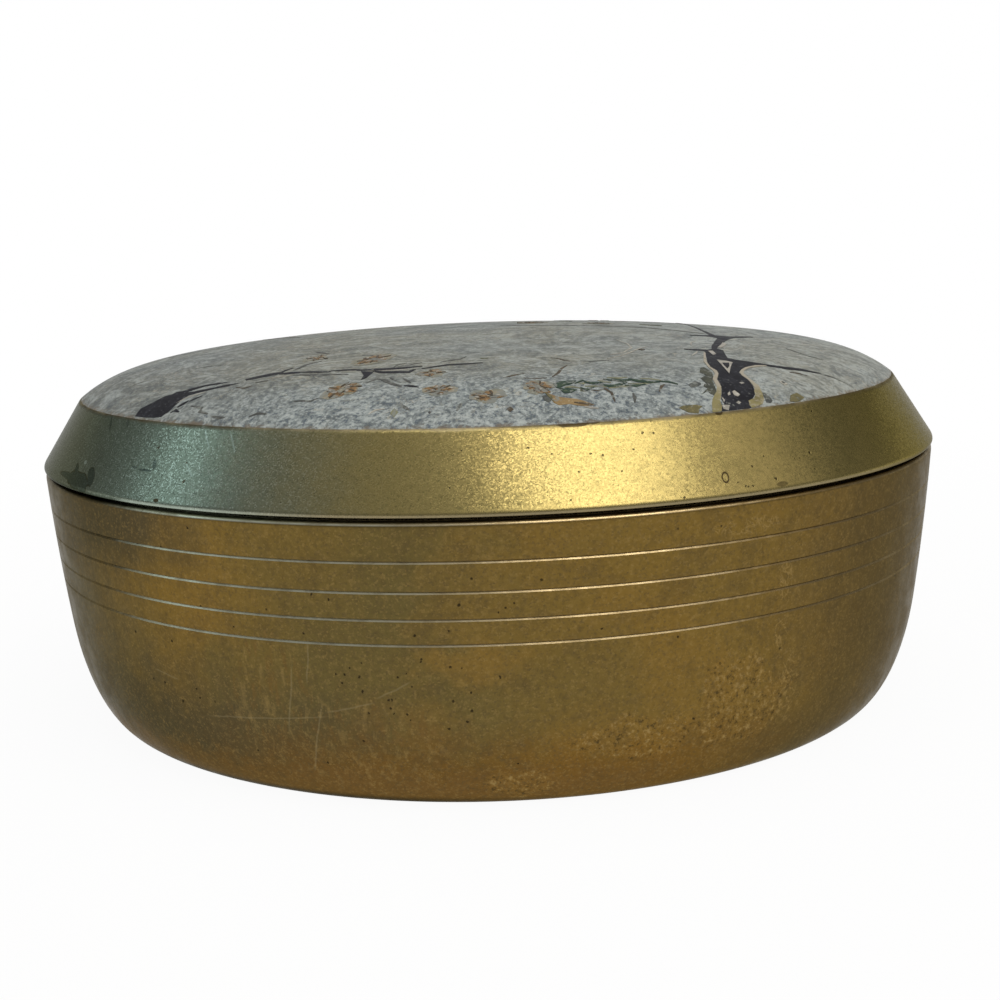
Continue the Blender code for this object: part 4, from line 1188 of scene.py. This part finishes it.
limbs = {
    # node or none, then the parts
    "inlaid_root": ("branch_root", [(black_paste, 0, 0, root_outline)]),
    "inlaid_middle": (
        "branch_middle",
        [
            (black_paste, 0, 0, middle_outline),
            (black_paste, 0, 1.1, ((-23.6, -33.8), (-22.3, -33.9), (-21.1, -34.2))),
            (black_paste, 0, 0.7, ((-21.2, -34.0), (-20.2, -34.4), (-19.0, -35.0), (-17.6, -35.5))),
            (shade_paste, 0, 0.95, ((-21.8, -35.2), (-20.5, -35.6), (-19.0, -36.6), (-17.3, -37.0))),
        ],
    ),
    "inlaid_tip": (
        "branch_tip",
        [
            (black_paste, 0, 0.7, ((-17.8, -35.1), (-16.3, -35.2), (-15.2, -35.4), (-13.6, -36.2))),
            (black_paste, 0, 0.95, upper_fork),
            (black_paste, 0, 0.95, lower_fork),
            (black_paste, 0, 0, drop_outline),
            (black_paste, 0, 0.65, fork_end),
            (shade_paste, 0, 0.4, ((-18.5, -36.8), (-17.2, -37.0), (-15.4, -37.7))),
        ],
    ),
    "inlaid_twig_up": (
        "twig_up",
        [
            (black_paste, 0, 0.45, ((-23.6, -33.1), (-23.1, -32.0), (-22.4, -31.0))),
            (shade_paste, 0, 0.55, ((-22.1, -32.6), (-21.5, -31.1), (-21.0, -29.6), (-19.4, -28.2))),
        ],
    ),
    "inlaid_twig_down": (
        "twig_down",
        [
            (shade_paste, 0, 0.65, ((-11.9, -40.6), (-10.9, -42.2), (-10.1, -43.6), (-9.2, -44.5))),
            (black_paste, 0, 0.55, ((-8.9, -44.3), (-8.1, -44.7), (-7.3, -45.2))),
            (shade_paste, 0, 0.40, ((-9.1, -41.6), (-8.6, -42.7), (-8.2, -43.6))),
            (shade_paste, 0, 0.35, ((-10.7, -40.6), (-10.1, -41.8), (-9.3, -43.1))),
        ],
    ),
    "inlaid_side_branch": (
        "side_branch",
        [
            (black_paste, 0, 0.95, side_line),
            (shade_paste, 0, 0.45, ((37.2, -32.0), (38.8, -31.8), (40.4, -31.6), (41.9, -31.8))),
        ],
    ),
    "inlaid_back_branch": ("back_branch", [(shade_paste, 0, 0.80, back_line)]),
    "inlaid_back_twig": ("back_twig", [(shade_paste, 0, 0.80, back_twig_line)]),
    "branch_bits": (
        None,
        [
            (black_paste, 0, 0.45, ((-35.3, -38.7), (-34.8, -38.6), (-34.2, -39.4))),
            (black_paste, 0, 0.55, ((-34.6, -38.2), (-34.0, -37.8), (-33.4, -37.5))),
            (black_paste, 0, 0.40, ((-33.3, -37.7), (-32.7, -37.5), (-31.9, -37.3))),
            (shade_paste, 0, 0.40, ((-10.0, -35.3), (-8.8, -35.1), (-8.2, -34.3), (-7.3, -34.0))),
            (shade_paste, 0, 0.40, ((-5.2, -34.3), (-4.2, -33.5), (-3.0, -32.9), (-2.3, -31.5))),
            (shade_paste, 0, 0.30, ((-10.5, -36.0), (-10.1, -34.5), (-9.1, -33.6))),
            (shade_paste, 0, 0.45, ((-13.1, -42.3), (-12.1, -41.0), (-11.2, -41.4))),
        ],
    ),
}
for name, (limb, parts) in limbs.items():
    inlaid(name, "black_inlay", [limb] if limb else [], parts)

# Blossoms
# Each blossom is a ragged patch of bone paste under amber petals, with dark strokes and pale dabs over
# them. Each part is modelled once and copied: the copies are scattered, turned and drawn out by chance.
petal_amber = (0.245, 0.150, 0.068)
petal_brown = (0.115, 0.075, 0.040)
halo_bone = (0.270, 0.245, 0.180)
halo_grey = (0.190, 0.196, 0.155)
stroke_brown = (0.060, 0.048, 0.034)
amber_paste = paste("amber_paste", petal_amber, petal_brown, (0.42, 0.32, 0.19), 0.50, 760.0)
halo_paste = paste("halo_paste", halo_bone, halo_grey, (0.44, 0.40, 0.31), 0.49, 760.0)
brown_paste = paste("brown_paste", stroke_brown, (0.100, 0.080, 0.055), (0.22, 0.17, 0.12), 0.54)
chance = random.Random(11)
part_points = 12
raggedness = 0.28
blossoms = (
    # place, half width, half height and turn in degrees, and how many petals show
    (-15.7, -43.8, 2.2, 2.7, -35, 7),
    (-13.2, -29.9, 2.1, 3.6, -20, 6),
    (-20.2, -25.2, 1.5, 2.6, -15, 4),
    (-6.1, -39.8, 2.0, 2.1, 0, 4),
    (-5.1, -46.5, 2.0, 1.8, 0, 7),
    (0.0, -48.6, 2.0, 1.7, 0, 5),
    (5.5, -46.5, 1.7, 2.1, 0, 7),
    (15.9, 4.8, 2.3, 2.3, 0, 5),
    (6.4, 7.2, 2.3, 2.3, 0, 5),
    (17.5, 25.5, 2.3, 2.3, 0, 5),
)
blossom_parts = (
    # the paste, its layer, then half length and half width, how far out, and how many to each petal
    (halo_paste, 0, 0.72, 0.62, 0.45, 1.2),
    (amber_paste, 1, 0.40, 0.26, 0.52, 1.0),
    (brown_paste, 2, 0.34, 0.08, 0.55, 1.1),
    (bone_paste, 2, 0.15, 0.10, 0.70, 0.5),
)


def ragged_outline():
    """A part of a blossom one unit long and wide, uneven all round."""
    outline = []
    for i in range(part_points):
        angle = 2 * math.pi * i / part_points
        size = 1 - raggedness * chance.random() * (1 + i % 2)
        outline.append((size * math.cos(angle), size * math.sin(angle)))
    return outline


def copied(source, name, move):
    """A copy with its own mesh, moved before it is laid on the lid."""
    made = source.copy()
    made.data = source.data.copy()
    made.name = name
    bpy.context.scene.collection.objects.link(made)
    made.data.transform(move)
    return made


sources = [cut_out("blossom_part", ragged_outline(), finish) for finish, *_ in blossom_parts]
for number, (across, up, wide, tall, turn, petals) in enumerate(blossoms, 1):
    spread = Matrix.Translation((across * mm, up * mm, 0)) @ Matrix.Rotation(math.radians(turn), 4, "Z")
    spread @= Matrix.Diagonal((wide, tall, 1, 1))
    set_layers = []
    for source, (finish, layer, long, narrow, out_by, to_each) in zip(sources, blossom_parts):
        count = max(1, round(petals * to_each))
        for i in range(count):
            angle = 2 * math.pi * (i + chance.uniform(-0.3, 0.3)) / count
            away = out_by * chance.uniform(0.5, 1.1) * mm
            move = spread @ Matrix.Translation((away * math.cos(angle), away * math.sin(angle), 0))
            move @= Matrix.Rotation(angle + chance.uniform(-0.8, 0.8), 4, "Z")
            size = chance.uniform(0.75, 1.2)
            move @= Matrix.Diagonal((long * size, narrow * size, 1, 1))
            set_layers.append(pressed_in(copied(source, "part", move), layer_proud[layer]))
    set_in(joined(f"inlaid_blossom_{number}", set_layers), "amber_inlay", f"blossom_{number}")
for source in sources:
    bpy.data.objects.remove(source)

# Leaves
# The leaves are dark green paste on an olive edging. Five lie in a fern-like spray by the blossoms,
# with fine leaflets between them, and three are on the limbs at the back.
leaf_green = (0.022, 0.046, 0.033)
edging_olive = (0.215, 0.215, 0.130)
green_paste = paste("green_paste", leaf_green, (0.050, 0.076, 0.052), (0.15, 0.17, 0.11), 0.53)
edging_paste = paste("edging_paste", edging_olive, (0.150, 0.160, 0.110), (0.36, 0.35, 0.24), 0.53)
front_leaves = (
    # the leaf's own outline or stroke, then the olive strokes set along it
    (
        ((7.7, -47.3), (8.5, -46.8), (9.5, -47.2), (8.9, -47.9), (8.1, -48.1)),
        (((9.8, -47.4), (10.3, -47.6), (9.9, -46.9)), ((8.2, -46.6), (9.0, -46.4), (9.9, -46.7))),
    ),
    (
        (
            (7.2, -45.8), (7.7, -45.0), (8.7, -44.6), (9.6, -44.6), (9.1, -45.6), (8.2, -46.2),
            (7.6, -46.8),
        ),
        (((7.9, -45.9), (8.6, -45.6), (9.3, -45.1)), ((9.8, -45.2), (10.2, -45.5), (10.9, -44.6))),
    ),
    (
        stroke(((12.0, -45.6), (13.0, -45.9), (13.8, -45.7), (15.0, -44.5)), 0.7),
        (((12.9, -46.4), (14.5, -45.7), (15.3, -45.8)), ((10.4, -46.2), (11.8, -46.0), (13.0, -46.1))),
    ),
    (
        stroke(((12.5, -43.8), (13.6, -44.0), (14.6, -44.1), (15.7, -43.6)), 0.7),
        (((11.9, -44.3), (12.6, -44.6), (13.3, -44.8)), ((13.0, -43.2), (14.2, -43.3), (15.2, -42.9))),
    ),
    (
        stroke(((15.3, -43.4), (16.2, -43.9), (17.4, -44.1), (18.6, -43.7)), 0.75),
        (((15.1, -44.8), (16.6, -44.8), (18.0, -44.0)), ((16.5, -43.1), (17.6, -43.0), (18.9, -43.2))),
    ),
)
back_leaves = ((22.9, 2.9, 150), (11.7, 13.8, 115), (21.8, 29.7, 70))
leaflets = (
    ((7.1, -45.6), (7.5, -46.6), (8.0, -47.1)),
    ((9.4, -45.5), (10.3, -44.4), (10.6, -45.1), (11.7, -45.1)),
    ((10.4, -45.1), (11.3, -45.4), (12.4, -44.8)), ((9.9, -46.6), (10.5, -47.1), (11.4, -46.3)),
    ((14.7, -45.4), (15.9, -45.4), (17.0, -44.7)), ((18.6, -43.6), (19.6, -43.5), (20.6, -43.9)),
)
for number, (outline, edges) in enumerate(front_leaves, 1):
    parts = [(green_paste, 1, 0, outline)] + [(edging_paste, 0, 0.45, path) for path in edges]
    inlaid(f"inlaid_leaf_{number}", "green_inlay", [f"leaf_{number}"], parts)
leaf_line = ((-1.6, 0), (-0.6, 0.1), (0.6, 0.1), (1.6, 0))
back_leaf = [
    cut_out("edging", stroke(leaf_line, 1.5), edging_paste),
    cut_out("blade", stroke(leaf_line, 0.9), green_paste),
]
for number, (across, up, turn) in enumerate(back_leaves, len(front_leaves) + 1):
    move = Matrix.Translation((across * mm, up * mm, 0)) @ Matrix.Rotation(math.radians(turn), 4, "Z")
    set_layers = []
    for layer, proud in zip(back_leaf, layer_proud):
        set_layers.append(pressed_in(copied(layer, "layer", move), proud))
    set_in(joined(f"inlaid_leaf_{number}", set_layers), "green_inlay", f"leaf_{number}")
for layer in back_leaf:
    bpy.data.objects.remove(layer)
inlaid("fern_leaflets", "green_inlay", [], [(green_paste, 1, 0.45, path) for path in leaflets])

# Gold leaf
# One long leaf of amber gold lies along the rim on a short olive stem, with a dark vein and a pale
# lower edge.
gold_paste = paste("gold_paste", (0.280, 0.195, 0.090), (0.190, 0.130, 0.065), (0.44, 0.37, 0.24), 0.58)
gold_body = (
    (6.2, -48.1), (6.8, -48.5), (7.3, -48.9), (8.3, -49.1), (9.2, -49.2), (10.0, -49.5), (11.1, -50.1),
    (10.1, -50.4), (9.4, -50.4), (8.5, -50.2), (7.4, -50.5), (6.9, -50.1), (6.5, -49.2),
)
gold_parts = [
    (gold_paste, 0, 0, gold_body),
    (brown_paste, 1, 0.30, ((9.0, -49.9), (9.9, -50.0), (10.9, -50.1))),
    (bone_paste, 1, 0.35, ((10.0, -50.5), (10.7, -50.6), (11.5, -50.6))),
    (olive_paste, 1, 0.35, ((6.1, -48.0), (6.6, -49.0), (6.9, -49.9))),
    (slate_paste, 0, 0, ((5.7, -48.8), (6.2, -48.6), (6.7, -49.6), (6.4, -50.1), (5.9, -49.7))),
]
inlaid("inlaid_gold_leaf", "gilt_brass", ["gold_leaf"], gold_parts)

# Strokes and spots
# Fine strokes of brown, olive and pale paste run between the branches, and a few dark spots lie
# scattered in the ground.
loose_strokes = {
    # the paste, the width of its strokes, then their paths
    "brown_strokes": (
        brown_paste,
        0.36,
        (
            ((11.0, -47.1), (11.7, -47.2), (12.5, -46.6), (13.1, -47.5), (13.2, -48.3), (13.3, -49.2)),
            ((7.1, -43.2), (7.8, -41.7), (8.3, -39.6), (9.0, -38.0)),
            ((7.4, -33.6), (8.3, -34.2), (8.9, -35.4), (9.5, -35.8)),
            ((1.8, -43.3), (2.8, -42.5), (4.1, -41.6)),
            ((4.0, -43.5), (5.1, -43.8), (6.5, -43.6)),
            ((-28.1, -37.1), (-27.0, -38.0), (-26.2, -37.6)),
            ((34.6, -34.3), (35.9, -33.9), (36.8, -33.9)),
            ((18.3, -46.2), (18.7, -44.9), (19.1, -44.3)),
        ),
    ),
    "pale_strokes": (
        bone_paste,
        0.28,
        (
            ((13.8, -34.2), (15.5, -32.4), (16.9, -29.8), (18.4, -26.6), (19.4, -25.4)),
            ((14.3, -31.8), (16.0, -30.2), (17.3, -26.6), (17.2, -23.3), (16.1, -19.7)),
            ((-12.4, -50.1), (-11.7, -49.6), (-10.7, -49.6)),
            ((-12.0, -37.1), (-11.0, -37.3), (-9.8, -37.4), (-8.8, -37.3)),
            ((8.8, -33.9), (9.8, -33.7), (10.7, -34.4)),
            ((-34.9, -36.9), (-34.0, -36.4), (-32.9, -36.3), (-31.7, -36.2)),
            ((23.9, -30.9), (24.6, -29.2), (25.0, -27.6)),
            ((24.9, -23.1), (25.2, -20.7), (26.1, -18.7)),
            ((-24.9, -35.4), (-23.6, -35.2), (-22.0, -35.2)),
        ),
    ),
    "grey_strokes": (
        shade_paste,
        0.42,
        (
            ((-32.8, -39.2), (-31.4, -40.6), (-31.6, -41.1), (-30.5, -42.3)),
            ((-30.0, -43.0), (-29.0, -43.9), (-28.3, -44.2)),
            ((-25.5, -45.6), (-24.6, -45.5), (-23.6, -46.1)),
            ((-20.7, -44.9), (-19.8, -45.1), (-18.9, -45.6), (-18.1, -45.2)),
            ((-3.2, -51.2), (-2.9, -50.5), (-2.7, -49.9)),
            ((-9.0, -49.2), (-8.6, -49.8), (-8.1, -50.4)),
            ((-35.4, -22.0), (-34.1, -21.8), (-32.2, -22.2)),
            ((-43.2, -23.7), (-42.6, -23.2), (-41.5, -23.2)),
            ((-32.2, 14.0), (-30.0, 11.5), (-25.9, 5.8)),
            ((15.4, -47.2), (15.5, -48.0), (15.4, -49.0)),
            ((37.0, -20.5), (38.1, -22.7), (39.2, -24.2), (40.6, -24.8)),
            ((10.6, -35.5), (11.8, -35.8), (13.9, -35.3)),
            ((-20.9, -19.8), (-20.1, -21.1), (-19.0, -22.8)),
            ((-14.7, -26.1), (-13.9, -26.3), (-13.0, -27.5)),
        ),
    ),
}
spots = (
    # place, half width, half height, and its paste
    (2.3, -51.3, 0.38, 0.42, brown_paste),
    (-9.7, -50.5, 0.42, 0.75, edging_paste),
    (-6.0, -51.1, 0.18, 0.22, shade_paste),
    (-25.3, -36.5, 0.70, 0.16, shade_paste),
    (33.1, -38.3, 0.50, 0.55, bone_paste),
    (33.1, -38.2, 0.25, 0.28, slate_paste),
    (18.4, -27.9, 0.40, 0.50, brown_paste),
    (-0.2, -32.9, 0.50, 0.60, edging_paste),
    (-19.0, -26.4, 0.25, 0.35, brown_paste),
)
for name, (finish, width, paths) in loose_strokes.items():
    inlaid(name, "grey_ground", [], [(finish, 0, width, path) for path in paths])
spot_parts = []
for across, up, wide, tall, finish in spots:
    outline = ((across - wide, up), (across, up - tall), (across + wide, up), (across, up + tall))
    spot_parts.append((finish, 1, 0, outline))
inlaid("ground_spots", "grey_ground", [], spot_parts)
